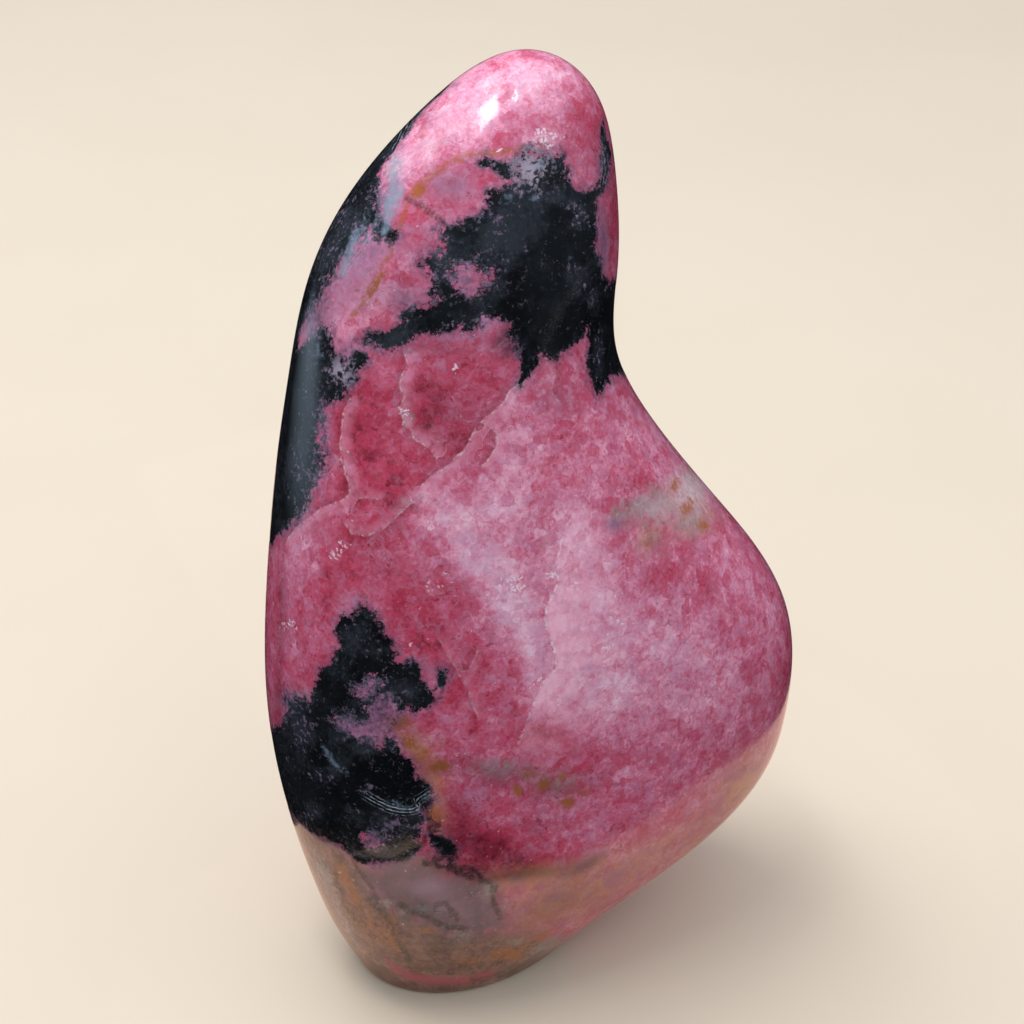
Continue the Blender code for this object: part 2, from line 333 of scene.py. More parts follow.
# Painted shade: darkening over the foot, along the lower and side edges, and at a few spots up the front.
PAINTED_SHADE = (
    (430, 996, 80, 10, 2, 1.0), (440, 968, 80, 14, 0, 0.4), (378, 974, 9, 16, -42, 0.9),
    (520, 975, 40, 6, -24, 0.6), (480, 850, 56, 20, 8, 0.8), (525, 875, 44, 7, -6, 0.6),
    (588, 864, 20, 6, -30, 0.35), (280, 610, 5, 70, 2, 0.5), (279, 700, 6, 40, 0, 0.6),
    (500, 776, 44, 16, 0, 0.6), (558, 790, 36, 18, 0, 0.5), (613, 200, 4, 70, 0, 0.4),
    (445, 972, 60, 5, 0, 0.3), (448, 868, 40, 8, 8, 0.6), (424, 912, 26, 9, 12, 1.0),
    (416, 904, 20, 5, 0, 0.7), (482, 884, 22, 9, 30, 0.6), (530, 874, 44, 6, -6, 1.0),
    (584, 866, 26, 5, -26, 0.8), (372, 842, 12, 8, 0, 0.6), (430, 987, 70, 7, 2, 0.7),
    (448, 940, 16, 12, 0, 0.6), (440, 948, 100, 40, 0, 0.45), (430, 896, 70, 28, 0, 0.4),
    (452, 415, 36, 40, 0, 0.35), (555, 905, 60, 26, -30, 0.65), (440, 892, 44, 20, 0, 0.5),
    (616, 524, 12, 12, 0, 0.5), (404, 300, 26, 20, -20, 0.4), (366, 298, 30, 36, 20, 0.4),
    (446, 184, 26, 18, 0, 0.6), (514, 338, 16, 16, 10, 1.0), (380, 560, 20, 20, 0, 0.25),
    (440, 350, 40, 10, 0, 0.2), (500, 348, 20, 12, 20, 0.5), (528, 340, 10, 22, -10, 0.8),
    (440, 346, 30, 12, 0, 0.35), (378, 716, 18, 26, 0, 0.45), (604, 250, 8, 40, 0, 0.4),
    (460, 820, 26, 22, 0, 0.6), (462, 766, 24, 16, 0, 0.35), (540, 822, 30, 14, 0, 0.35),
    (602, 240, 8, 40, 0, 0.35), (556, 398, 26, 20, 20, 0.2), (424, 770, 16, 24, 0, 0.3),
    (412, 250, 16, 40, 20, 0.3), (640, 505, 30, 14, -10, 0.2), (312, 322, 14, 26, 20, 0.5),
    (322, 300, 8, 30, 25, 0.4), (440, 766, 12, 9, 0, 0.5), (399, 722, 12, 10, 0, 0.5),
    (412, 744, 12, 16, 0, 0.35), (380, 880, 20, 10, 30, 0.3),
)
# White cleavage faces with painted glints.
SPARK = (
    (545, 137, 15, 11, -10, 1.0), (513, 584, 14, 10, 0, 0.9), (553, 575, 7, 6, 0, 1.0),
    (617, 620, 7, 6, 0, 1.0), (608, 635, 5, 4, 0, 1.0), (606, 652, 5, 8, 0, 0.9), (574, 586, 6, 4, 0, 0.8),
    (290, 626, 9, 7, 0, 0.9), (338, 549, 10, 8, -30, 1.0), (404, 416, 7, 9, 0, 0.7),
    (452, 585, 24, 12, 0, 0.25), (430, 524, 12, 8, 0, 0.5), (414, 498, 6, 5, 0, 0.7),
    (406, 646, 10, 6, 0, 0.5), (540, 682, 6, 5, -30, 0.9), (500, 150, 4, 4, 0, 1.0),
    (438, 578, 12, 8, 0, 0.35), (455, 368, 8, 6, 0, 0.8), (560, 704, 8, 6, 0, 0.6),
    (620, 594, 5, 5, 0, 0.6),
)

# Lines: (reach in px, strength, path). The right of a path as it runs is the paler side of the fracture.
FRACTURES = (
    (18, 0.8, (
        (440, 462), (430, 448), (416, 440), (411, 430), (404, 424), (400, 412), (403, 398), (399, 384),
        (407, 366), (404, 350),
    )),
    (18, 1.0, (
        (420, 488), (430, 478), (440, 470), (450, 465), (456, 458), (466, 448), (472, 436), (478, 426),
        (486, 418),
    )),
    (18, 1.0, (
        (482, 466), (490, 458), (497, 446), (498, 434), (490, 427), (484, 420), (494, 411), (504, 402),
        (510, 390), (526, 380),
    )),
    (16, 0.8, (
        (285, 543), (296, 528), (308, 518), (320, 508), (338, 502), (350, 494), (346, 478), (341, 455),
        (340, 430), (344, 410), (352, 396),
    )),
    (14, 0.6, (
        (440, 500), (424, 492), (416, 500), (404, 510), (394, 520), (380, 531), (366, 537), (352, 534),
        (344, 524),
    )),
    (12, 0.5, ((384, 500), (366, 497), (350, 504))),
    (12, 0.6, ((494, 350), (504, 340), (512, 332))),
    (12, 0.5, ((548, 350), (556, 372), (552, 392), (560, 404))),
    (12, 0.4, ((468, 676), (470, 668), (474, 658), (478, 648))),
    (12, 0.4, ((444, 594), (432, 596), (424, 588))),
    (12, 0.4, ((478, 720), (468, 690), (452, 660), (438, 640))),
)
# The long step runs up the stone, from its faint foot through its bright middle to its faint top.
STEP_LINES = (
    (60, 0.45, ((519, 742), (523, 730), (528, 722), (530, 714), (534, 706))),
    (96, 1.0, (
        (534, 706), (540, 694), (541, 684), (548, 677), (557, 669), (556, 656), (552, 642), (547, 632),
        (545, 618), (548, 604), (553, 594), (557, 583),
    )),
    (70, 0.6, ((557, 583), (559, 572), (557, 560), (560, 546), (564, 534), (566, 524), (573, 516))),
)
DARK_VEINS = (
    (9, 1.0, ((421, 862), (432, 864), (444, 868), (458, 869), (468, 868), (476, 871), (484, 879))),
    (9, 0.9, ((438, 858), (446, 864), (454, 870), (462, 875), (474, 877))),
    (14, 1.0, ((398, 904), (408, 910), (420, 914), (432, 920), (444, 925), (456, 928), (468, 929))),
    (12, 0.7, ((418, 905), (430, 907), (440, 904), (450, 903))),
    (12, 0.8, ((476, 874), (484, 881), (492, 884), (496, 890))),
    (9, 0.8, ((494, 885), (493, 896), (496, 908), (501, 920))),
    (10, 0.65, ((344, 846), (353, 856), (357, 870), (368, 881), (372, 893), (380, 903), (384, 914))),
    (10, 0.65, ((384, 914), (393, 924), (394, 938), (404, 949), (411, 962))),
    (9, 0.7, ((470, 981), (490, 979), (508, 973), (524, 967), (540, 958))),
    (9, 0.5, ((430, 800), (432, 812), (426, 820), (431, 830))),
    (7, 0.25, ((388, 523), (400, 513), (412, 503), (424, 495))),
    (9, 0.7, ((404, 196), (414, 201), (424, 208), (434, 216), (446, 224))),
    (9, 1.0, (
        (420, 806), (427, 814), (431, 822), (429, 832), (437, 838), (446, 841), (455, 847), (455, 857),
        (447, 862),
    )),
    (8, 0.9, ((416, 848), (423, 842), (428, 834), (434, 826), (442, 822))),
    (8, 0.8, ((432, 860), (439, 855), (448, 853))),
    (9, 0.8, ((447, 905), (455, 912), (458, 922))),
    (7, 0.5, ((392, 934), (388, 924), (378, 908), (370, 896))),
)
OCHRE_SEAM = (
    (12, 1.0, (
        (548, 143), (530, 146), (514, 150), (500, 153), (482, 152), (466, 156), (452, 161), (440, 168),
        (430, 176), (420, 182), (414, 192), (408, 204), (404, 218), (396, 232), (391, 246), (384, 262),
        (378, 278), (368, 290), (362, 304), (350, 318),
    )),
    (10, 0.6, ((408, 198), (418, 203), (428, 212), (438, 220))),
)
SCRATCHES = (
    (15, 1.0, ((366, 796), (376, 802), (388, 808), (400, 811), (412, 811), (420, 808))),
    (10, 0.8, ((414, 806), (419, 800), (425, 796), (431, 792))),
    (8, 0.5, ((407, 120), (402, 130), (398, 142), (392, 152))),
    (8, 0.3, ((372, 232), (362, 250), (352, 262), (342, 278))),
    (8, 0.4, ((596, 140), (604, 156), (605, 172), (602, 186))),
)

# ---- Markings of the far side, px, as if the stone were clear ----

FAR_BLACK = (
    (
        (449, 85), (462, 100), (470, 128), (458, 150), (464, 176), (450, 196), (436, 214), (440, 240),
        (428, 262), (410, 270), (404, 296), (384, 312), (372, 340), (376, 366), (360, 392), (352, 424),
        (338, 440), (342, 470), (322, 492), (310, 520), (290, 530), (272, 544), (240, 540), (240, 300),
        (330, 120), (430, 70),
    ),
    (
        (640, 284), (606, 280), (590, 292), (574, 288), (562, 306), (548, 310), (552, 330), (536, 342),
        (520, 360), (530, 378), (552, 372), (566, 386), (584, 380), (600, 388), (640, 372),
    ),
    (
        (250, 728), (276, 728), (292, 738), (300, 756), (318, 762), (322, 780), (310, 792), (318, 806),
        (306, 822), (312, 842), (298, 852), (250, 830),
    ),
    (
        (470, 560), (488, 552), (502, 562), (520, 556), (540, 570), (560, 574), (572, 590), (592, 594),
        (606, 612), (600, 628), (614, 642), (632, 648), (640, 668), (626, 684), (606, 680), (590, 692),
        (570, 686), (556, 670), (538, 668), (528, 650), (510, 646), (500, 628), (484, 620), (478, 600),
        (462, 590), (458, 572),
    ),
    (
        (380, 640), (396, 634), (408, 646), (424, 650), (430, 666), (446, 676), (442, 692), (424, 698),
        (412, 712), (396, 706), (388, 690), (374, 682), (370, 660),
    ),
    ((520, 190), (540, 184), (556, 192), (560, 208), (550, 222), (534, 226), (520, 214)),
    (
        (660, 760), (680, 744), (704, 746), (716, 732), (734, 736), (730, 752), (712, 762), (700, 778),
        (678, 782), (664, 776),
    ),
)
FAR_ISLANDS = (
    ((528, 600), (546, 596), (560, 606), (572, 622), (562, 636), (544, 630), (532, 616)),
    ((400, 664), (412, 664), (416, 676), (406, 682), (398, 676)),
)
FAR_TAN = (
    (240, 850), (312, 862), (340, 880), (372, 900), (404, 906), (440, 924), (480, 930), (520, 940),
    (580, 940), (600, 1040), (300, 1040),
)
FAR_DEEP = (
    (420, 560, 50, 60, 0, 0.8), (600, 520, 50, 50, 0, 0.7), (520, 760, 70, 40, 10, 0.8),
    (690, 660, 40, 60, 0, 0.6), (500, 300, 36, 40, 0, 0.7), (560, 120, 30, 30, 0, 0.4),
    (330, 620, 30, 50, 0, 0.6), (778, 680, 20, 70, 0, 0.9),
)
FAR_PALE_AND_SHEEN = (
    (520, 90, 70, 40, 0, 0.8), (500, 440, 50, 60, 20, 0.9), (660, 560, 50, 30, 20, 0.7),
    (380, 760, 50, 40, 0, 0.7), (600, 830, 60, 30, -20, 0.6), (460, 480, 30, 60, 0, 0.6),
)
FAR_LILAC = (
    (470, 680, 40, 30, 0, 0.8), (450, 350, 40, 40, 0, 0.6), (640, 720, 40, 30, 0, 0.6),
    (350, 520, 30, 40, 0, 0.7), (560, 540, 30, 16, 0, 0.7),
)
FAR_OCHRE = (
    (450, 628, 14, 10, 0, 0.9), (640, 700, 14, 10, 0, 0.7), (500, 690, 20, 8, 20, 0.6),
    (420, 400, 10, 24, 20, 0.5), (580, 780, 16, 8, -20, 0.6),
)
FAR_GREY = ((690, 480, 16, 20, -30, 0.8), (560, 440, 20, 12, 0, 0.5), (420, 880, 40, 16, 0, 0.6))
FAR_FLECKED = (
    (420, 160, 30, 50, 20, 0.8), (400, 300, 30, 60, 20, 0.7), (560, 640, 50, 40, 0, 0.7),
    (300, 480, 30, 60, 0, 0.6), (290, 790, 24, 30, 0, 0.8), (590, 330, 40, 30, 0, 0.6),
)
FAR_FRACTURES = (
    (10, 1.0, ((640, 500), (622, 520), (612, 546), (592, 560), (586, 584))),
    (10, 0.8, ((360, 560), (380, 576), (392, 600), (412, 610), (420, 630))),
    (10, 0.8, ((560, 230), (548, 260), (530, 276), (524, 300), (506, 316))),
    (10, 0.7, ((480, 760), (510, 774), (530, 796), (560, 800))),
)
FAR_VEINS = (
    (12, 1.0, ((606, 620), (640, 610), (664, 620), (690, 606), (712, 610))),
    (12, 1.0, ((430, 668), (448, 650), (460, 628), (470, 600))),
    (12, 0.9, ((540, 668), (546, 700), (536, 730), (548, 760), (540, 790))),
    (12, 0.8, ((404, 296), (430, 310), (452, 308), (480, 326), (520, 350))),
    (9, 0.8, ((312, 842), (340, 850), (366, 846), (390, 862), (420, 858))),
)
FAR_SEAM = ((14, 0.8, ((600, 140), (580, 170), (560, 190), (520, 200), (490, 230), (470, 270), (464, 310))),)
# fmt: on

FRONT = {
    "black": (NECK_PATCH, FLANK_PATCH, LOWER_PATCH, *SMALL_PATCHES), "islands": ISLANDS,
    "foot": TAN_FOOT, "rim": ROSE_RIM, "greyed": GREY_PATCH,
    "deep": DEEP, "pale": PALE_AND_SHEEN, "lilac": LILAC, "ochre": OCHRE, "grey": GREY, "flecked": FLECKED,
    "blue": BLUE, "clay_and_reflection": CLAY_AND_REFLECTION, "dusk": PAINTED_SHADE, "spark": SPARK,
    "crack": FRACTURES, "vein": DARK_VEINS, "seam": OCHRE_SEAM, "step": STEP_LINES, "scratch": SCRATCHES,
}  # fmt: skip
BACK = {
    "black": FAR_BLACK, "islands": FAR_ISLANDS, "foot": FAR_TAN,
    "deep": FAR_DEEP, "pale": FAR_PALE_AND_SHEEN, "lilac": FAR_LILAC, "ochre": FAR_OCHRE, "grey": FAR_GREY,
    "flecked": FAR_FLECKED, "crack": FAR_FRACTURES, "vein": FAR_VEINS, "seam": FAR_SEAM,
}  # fmt: skip
OUTLINED = ("foot", "rim", "greyed")
STAINS_AND_PAINTED_LIGHT = ("deep", "pale", "lilac", "ochre", "grey", "flecked", "blue", "clay_and_reflection", "dusk", "spark")
LINED = ("crack", "vein", "seam", "step", "scratch")
OUTSIDE = -5.0  # mm, where a side lacks an outline
FAR_OFF = 60.0  # px, where no line reaches

# Attributes of the stone, three markings to each.
MARK_GROUPS = {
    "patch": ("black", "foot", "rim"),
    "tint": ("deep", "pale", "lilac"),
    "stain": ("ochre", "grey", "flecked"),
    "fracture": ("crack", "crack_strength", "greyed"),
    "veining": ("vein", "vein_strength", "step"),
    "seaming": ("seam", "seam_strength", "step_strength"),
    "scoring": ("scratch", "scratch_strength", "blue"),
    "wash": ("clay_and_reflection", "dusk", "spark"),
}

# ---- Geometry ----


def spline_through(stations, values, at):
    """The smooth curve (a natural cubic spline) through values at stations, read at the places asked for."""
    step = np.diff(stations)
    slope = np.diff(values, axis=0) / step[:, None]
    system = np.eye(len(stations))
    bend = np.zeros_like(values)
    for i in range(1, len(stations) - 1):
        system[i, i - 1 : i + 2] = step[i - 1], 2 * (step[i - 1] + step[i]), step[i]
        bend[i] = 6 * (slope[i] - slope[i - 1])
    bend = np.linalg.solve(system, bend)
    cell = np.clip(np.searchsorted(stations, at, side="right") - 1, 0, len(step) - 1)
    width = step[cell][:, None]
    past = (at - stations[cell])[:, None]
    left = width - past
    chord = (values[cell] * left + values[cell + 1] * past) / width
    return chord + (
        bend[cell] * (left**3 / width - width * left)
        + bend[cell + 1] * (past**3 / width - width * past)
    ) / 6


def climb(height):
    """How far up its round a height lies, from 0 at the ground to 1 at the tip, so that the tip is a dome."""
    return np.arcsin(height / HEIGHT) / (math.pi / 2)


def ring_points(segments, left, right, front, back, square, turn):
    """One level ring in plan, anticlockwise from above, in mm."""
    angle = np.arange(segments) * 2 * math.pi / segments
    x = (np.cos(angle) - square * np.cos(3 * angle)) / (1 - square) * (right - left) / 2
    y = (np.sin(angle) + square * np.sin(3 * angle)) / (1 - square) * (back - front) / 2
    cos, sin = math.cos(math.radians(turn)), math.sin(math.radians(turn))
    middle_x, middle_y = (left + right) / 2, (front + back) / 2
    return np.column_stack([middle_x + x * cos - y * sin, middle_y + x * sin + y * cos])


def ring_stack(rows, segments):
    """Level rings at the given shares of the climb, as an array of rows by segments by 3, in mm."""
    levels = np.array(LEVELS)
    points = np.empty((len(rows), segments, 3))
    forms = spline_through(climb(levels[:, 0]), levels[:, 1:], rows)
    for ring, row, form in zip(points, rows, forms):
        ring[:, :2] = ring_points(segments, *form)
        ring[:, 2] = HEIGHT * math.sin(row * math.pi / 2)
    return points


def even_rows(count, samples=1500, paths=24):
    """Shares of the climb that set rings about equally far apart over the surface, without the tip."""
    fine = np.linspace(0, 1, samples)
    run = np.linalg.norm(np.diff(ring_stack(fine, paths), axis=0), axis=2).mean(axis=1)
    travelled = np.concatenate([[0], np.cumsum(run)])
    return np.interp(np.arange(count) / count * travelled[-1], travelled, fine)


def along_and_around(values):
    """How values on a stack of rings change from ring to ring and round each ring."""
    return np.gradient(values, axis=0), (np.roll(values, -1, axis=1) - np.roll(values, 1, axis=1)) / 2


def grid_normals(points):
    """Outward unit normals of a stack of rings."""
    along, around = along_and_around(points)
    normal = np.cross(around, along)
    return normal / np.maximum(np.linalg.norm(normal, axis=2, keepdims=True), 1e-9)


def soft_step(low, high, value):
    share = np.clip((value - low) / (high - low), 0, 1)
    return share * share * (3 - 2 * share)


# ---- Drawing on the stone ----


def in_picture(points):
    """Where points in mm fall in the camera's picture, in px."""
    turn = np.array(Euler(CAMERA_TURN).to_matrix())
    seen = (points - np.array(CAMERA_PLACE) / MM) @ turn
    focal = LENS / SENSOR * PICTURE
    return np.column_stack([
        PICTURE / 2 - focal * seen[:, 0] / seen[:, 2],
        PICTURE / 2 + focal * seen[:, 1] / seen[:, 2],
    ])


def depth_inside(places, outline):
    """How far each place lies inside an outline, in px, and less than 0 outside it."""
    nearest = np.full(len(places), np.inf)
    inside = np.zeros(len(places), bool)
    x, y = places.T
    for (x1, y1), (x2, y2) in zip(outline, outline[1:] + outline[:1]):
        run_x, run_y = x2 - x1, y2 - y1
        share = ((x - x1) * run_x + (y - y1) * run_y) / (run_x**2 + run_y**2)
        share = np.clip(share, 0, 1)
        nearest = np.minimum(nearest, np.hypot(x - x1 - share * run_x, y - y1 - share * run_y))
        if y1 != y2:
            inside ^= ((y1 > y) != (y2 > y)) & (x < x1 + (y - y1) * run_x / run_y)
    return np.where(inside, nearest, -nearest)


def across_path(places, path):
    """Signed distance across a path, above 0 on its right as it runs, and how far past its ends, in px."""
    x, y = places.T
    best = np.full(len(places), np.inf)
    across = np.zeros(len(places))
    past = np.zeros(len(places))
    for i, ((x1, y1), (x2, y2)) in enumerate(zip(path, path[1:])):
        run_x, run_y = x2 - x1, y2 - y1
        length = math.hypot(run_x, run_y)
        share = ((x - x1) * run_x + (y - y1) * run_y) / length**2
        held = np.clip(share, -np.inf if i == 0 else 0, np.inf if i == len(path) - 2 else 1)
        gap = np.hypot(x - x1 - held * run_x, y - y1 - held * run_y)
        side = np.sign(run_x * (y - y1) - run_y * (x - x1))
        closer = gap < best
        best = np.where(closer, gap, best)
        across = np.where(closer, side * gap, across)
        past = np.where(closer, np.maximum(-share, share - 1) * length, past)
    return across, past


def lines(places, paths):
    """The nearest of several paths: the signed distance across it in mm and its strength there, 0 to 1."""
    across = np.full(len(places), FAR_OFF)
    strength = np.zeros(len(places))
    for reach, weight, path in paths:
        distance, past = across_path(places, path)
        here = weight * (1 - soft_step(0.5 * reach, reach, abs(distance)))
        here *= 1 - soft_step(-0.3 * reach, 0.3 * reach, past)
        stronger = here > strength
        across = np.where(stronger, distance, across)
        strength = np.where(stronger, here, strength)
    return across * MM_PER_PX, strength


def stains(places, spots):
    """Soft round or oval spots, of stain and of painted light alike, from 0 to 1."""
    clear = np.ones(len(places))
    for x, y, across, along, turn, strength in spots:
        cos, sin = math.cos(math.radians(turn)), math.sin(math.radians(turn))
        gap = places - (x, y)
        u = (gap[:, 0] * cos + gap[:, 1] * sin) / across
        v = (gap[:, 1] * cos - gap[:, 0] * sin) / along
        clear *= 1 - strength * np.exp(-1.2 * (u * u + v * v))
    return 1 - clear


def patches(places, outlines, islands):
    """Depth inside the black, in mm: the outlines together, less the islands."""
    black = np.max([depth_inside(places, outline) for outline in outlines], axis=0)
    holes = np.max([depth_inside(places, outline) for outline in islands], axis=0)
    return np.minimum(black, -holes) * MM_PER_PX


def even_on_surface(depth, points, least=0.3, most=1.5):
    """A depth on a stack of rings, corrected to mm along the surface where it is seen at a slant."""
    depth = depth.reshape(points.shape[:2])
    along, around = along_and_around(points)
    rise, swing = along_and_around(depth)
    e, f, g = (along**2).sum(2), (along * around).sum(2), (around**2).sum(2)
    slope = (g * rise**2 - 2 * f * rise * swing + e * swing**2) / np.maximum(e * g - f * f, 1e-6)
    return (depth / np.sqrt(np.clip(slope, least**2, most**2))).ravel()


def marks_of(side, places, points):
    """Every marking of one side, by name, at each point of the stone."""
    marks = {"black": patches(places, side["black"], side["islands"])}
    for name in OUTLINED:
        if name in side:
            marks[name] = depth_inside(places, side[name]) * MM_PER_PX
        else:
            marks[name] = np.full(len(places), OUTSIDE)
    for name in ("black", "foot"):
        marks[name] = even_on_surface(marks[name], points)
    for name in STAINS_AND_PAINTED_LIGHT:
        marks[name] = stains(places, side.get(name, ()))
    for name in LINED:
        marks[name], marks[name + "_strength"] = lines(places, side.get(name, ()))
    return marks


def sight_of(points):
    """From each point of the stone to the camera, in mm."""
    return np.array(CAMERA_PLACE) / MM - points.reshape(-1, 3)


def all_marks(points):
    """Markings of both sides, blended over the edge where the camera's sight just grazes the stone."""
    sight = sight_of(points)
    sight /= np.linalg.norm(sight, axis=1, keepdims=True)
    facing = (grid_normals(points).reshape(-1, 3) * sight).sum(axis=1)
    near = soft_step(-0.06, 0.04, facing)
    places = in_picture(points.reshape(-1, 3))
    front = marks_of(FRONT, places, points)
    back = marks_of(BACK, places, points)
    marks = {}
    for name in front:
        if name in LINED:
            marks[name] = np.where(near > 0.5, front[name], back[name])
        elif name.endswith("_strength"):
            marks[name] = np.where(near > 0.5, front[name] * near, back[name] * (1 - near))
        else:
            marks[name] = front[name] * near + back[name] * (1 - near)
    return marks


# ---- Relief and mesh ----


def hand_ground(points):
    """Slow swells and hollows left by grinding by hand, from 0 to 1."""
    x, y, z = points.reshape(-1, 3).T
    swell = (
        np.sin(x / 9.1 + 1.3 * np.sin(z / 17.0) + 0.7)
        + np.sin(z / 11.3 + 1.1 * np.sin(x / 13.0 + 2.0) + 2.1)
        + np.sin((x + y) / 7.7 - z / 14.1 + 0.4)
        + np.sin((y - x) / 10.3 + z / 9.7 + 1.9)
    )
    return swell / 8 + 0.5


def relief(points, marks):
    """How far the surface lies under its full form, in mm."""
    deep = SWELL_DEPTH * hand_ground(points)
    deep += BLACK_DEPTH * soft_step(-0.2, 0.6, marks["black"])
    facing = (grid_normals(points).reshape(-1, 3) * sight_of(points)).sum(axis=1) > 0
    places = in_picture(points.reshape(-1, 3))
    for x, y, radius, depth in PITS:
        gap = np.hypot(places[:, 0] - x, places[:, 1] - y) / radius
        deep += depth * np.exp(-1.5 * gap**2) * facing
    lower_side = soft_step(-0.25, 0.25, -marks["step"]) * marks["step_strength"] ** 2
    deep += STEP_DEPTH * lower_side
    deep += CRACK_DEPTH * marks["crack_strength"] * np.exp(-((marks["crack"] / CRACK_HALF) ** 2))
    return deep.reshape(points.shape[:2])


def rounded_rim(points):
    """The lowest rings drawn in towards the middle, so that the edge of the ground flat is soft."""
    low = points[:, :, 2] < RIM_ROUND
    rise = np.clip(points[:, :, 2] / RIM_ROUND, 0, 1)
    inset = RIM_ROUND * (1 - np.sqrt(1 - (1 - rise) ** 2)) * RIM_DRAW * low
    middle = points[0, :, :2].mean(axis=0)
    away = points[:, :, :2] - middle
    away /= np.linalg.norm(away, axis=2, keepdims=True)
    points[:, :, :2] -= away * inset[:, :, None]
    return points


def stone_grid():
    """The rings of the stone with its relief, its tip and its markings, centred as the solid is, in mm."""
    solid = ring_stack(np.arange(SOLID_ROWS) / SOLID_ROWS, SOLID_SEGMENTS)
    middle = (solid.min(axis=(0, 1)) + solid.max(axis=(0, 1))) / 2 * (1, 1, 0)
    rows = even_rows(ROWS)
    rows = np.concatenate([climb(np.array(RIM_RINGS)), rows[rows > climb(FIRST_EVEN_RING)]])
    points = rounded_rim(ring_stack(rows, SEGMENTS) - middle)
    marks = all_marks(points)
    sunk = relief(points, marks) * soft_step(0.0, GROUND_FADE, points[:, :, 2])
    levels = np.array(LEVELS)
    tip = np.array([levels[-1, 1], levels[-1, 3], HEIGHT]) - middle
    sunk *= soft_step(*TIP_FADE, np.linalg.norm(points - tip, axis=2))
    points = points - grid_normals(points) * sunk[:, :, None]
    return points, tip, marks


def stone_faces(rows, segments):
    """Corners of the faces: the rings, the fan at the tip, the rings under the ground flat and its fan."""
    after = [(i + 1) % segments for i in range(segments)]
    faces = []
    for low in range(0, (rows - 1) * segments, segments):
        high = low + segments
        faces += [(low + i, low + j, high + j, high + i) for i, j in enumerate(after)]
    tip = rows * segments
    last = tip - segments
    faces += [(last + i, last + j, tip) for i, j in enumerate(after)]
    under = [0] + [tip + 1 + ring * segments for ring in range(GROUND_RINGS - 1)]
    for outer, inner in zip(under, under[1:]):
        faces += [(outer + j, outer + i, inner + i, inner + j) for i, j in enumerate(after)]
    centre = under[-1] + segments
    faces += [(under[-1] + j, under[-1] + i, centre) for i, j in enumerate(after)]
    return faces


def carry_marks(mesh, marks, segments):
    """The markings as attributes of the points. The tip and the ground flat repeat their nearest ring."""
    for group, names in MARK_GROUPS.items():
        values = np.column_stack([marks[mark] for mark in names])
        under = np.tile(values[:segments], (GROUND_RINGS - 1, 1))
        spread = np.concatenate([values, [values[-1]], under, [values[0]]]).astype(np.float32)
        mesh.attributes.new(group, "FLOAT_VECTOR", "POINT").data.foreach_set("vector", spread.ravel())


def stone_mesh(name, scale):
    """The stone as one closed mesh with its markings on its points."""
    points, tip, marks = stone_grid()
    rows, segments = points.shape[:2]
    ground = points[0] * (1, 1, 0)
    middle = ground.mean(axis=0)
    shares = np.arange(GROUND_RINGS - 1, 0, -1) / GROUND_RINGS
    under = np.concatenate([middle + (ground - middle) * share for share in shares])
    cloud = np.concatenate([points.reshape(-1, 3), [tip], under, [middle]]) * MM * scale
    mesh = bpy.data.meshes.new(name)
    mesh.from_pydata(cloud.tolist(), [], stone_faces(rows, segments))
    carry_marks(mesh, marks, segments)
    mesh.shade_smooth()
    mesh.update()
    return mesh


# ---- Finish ----


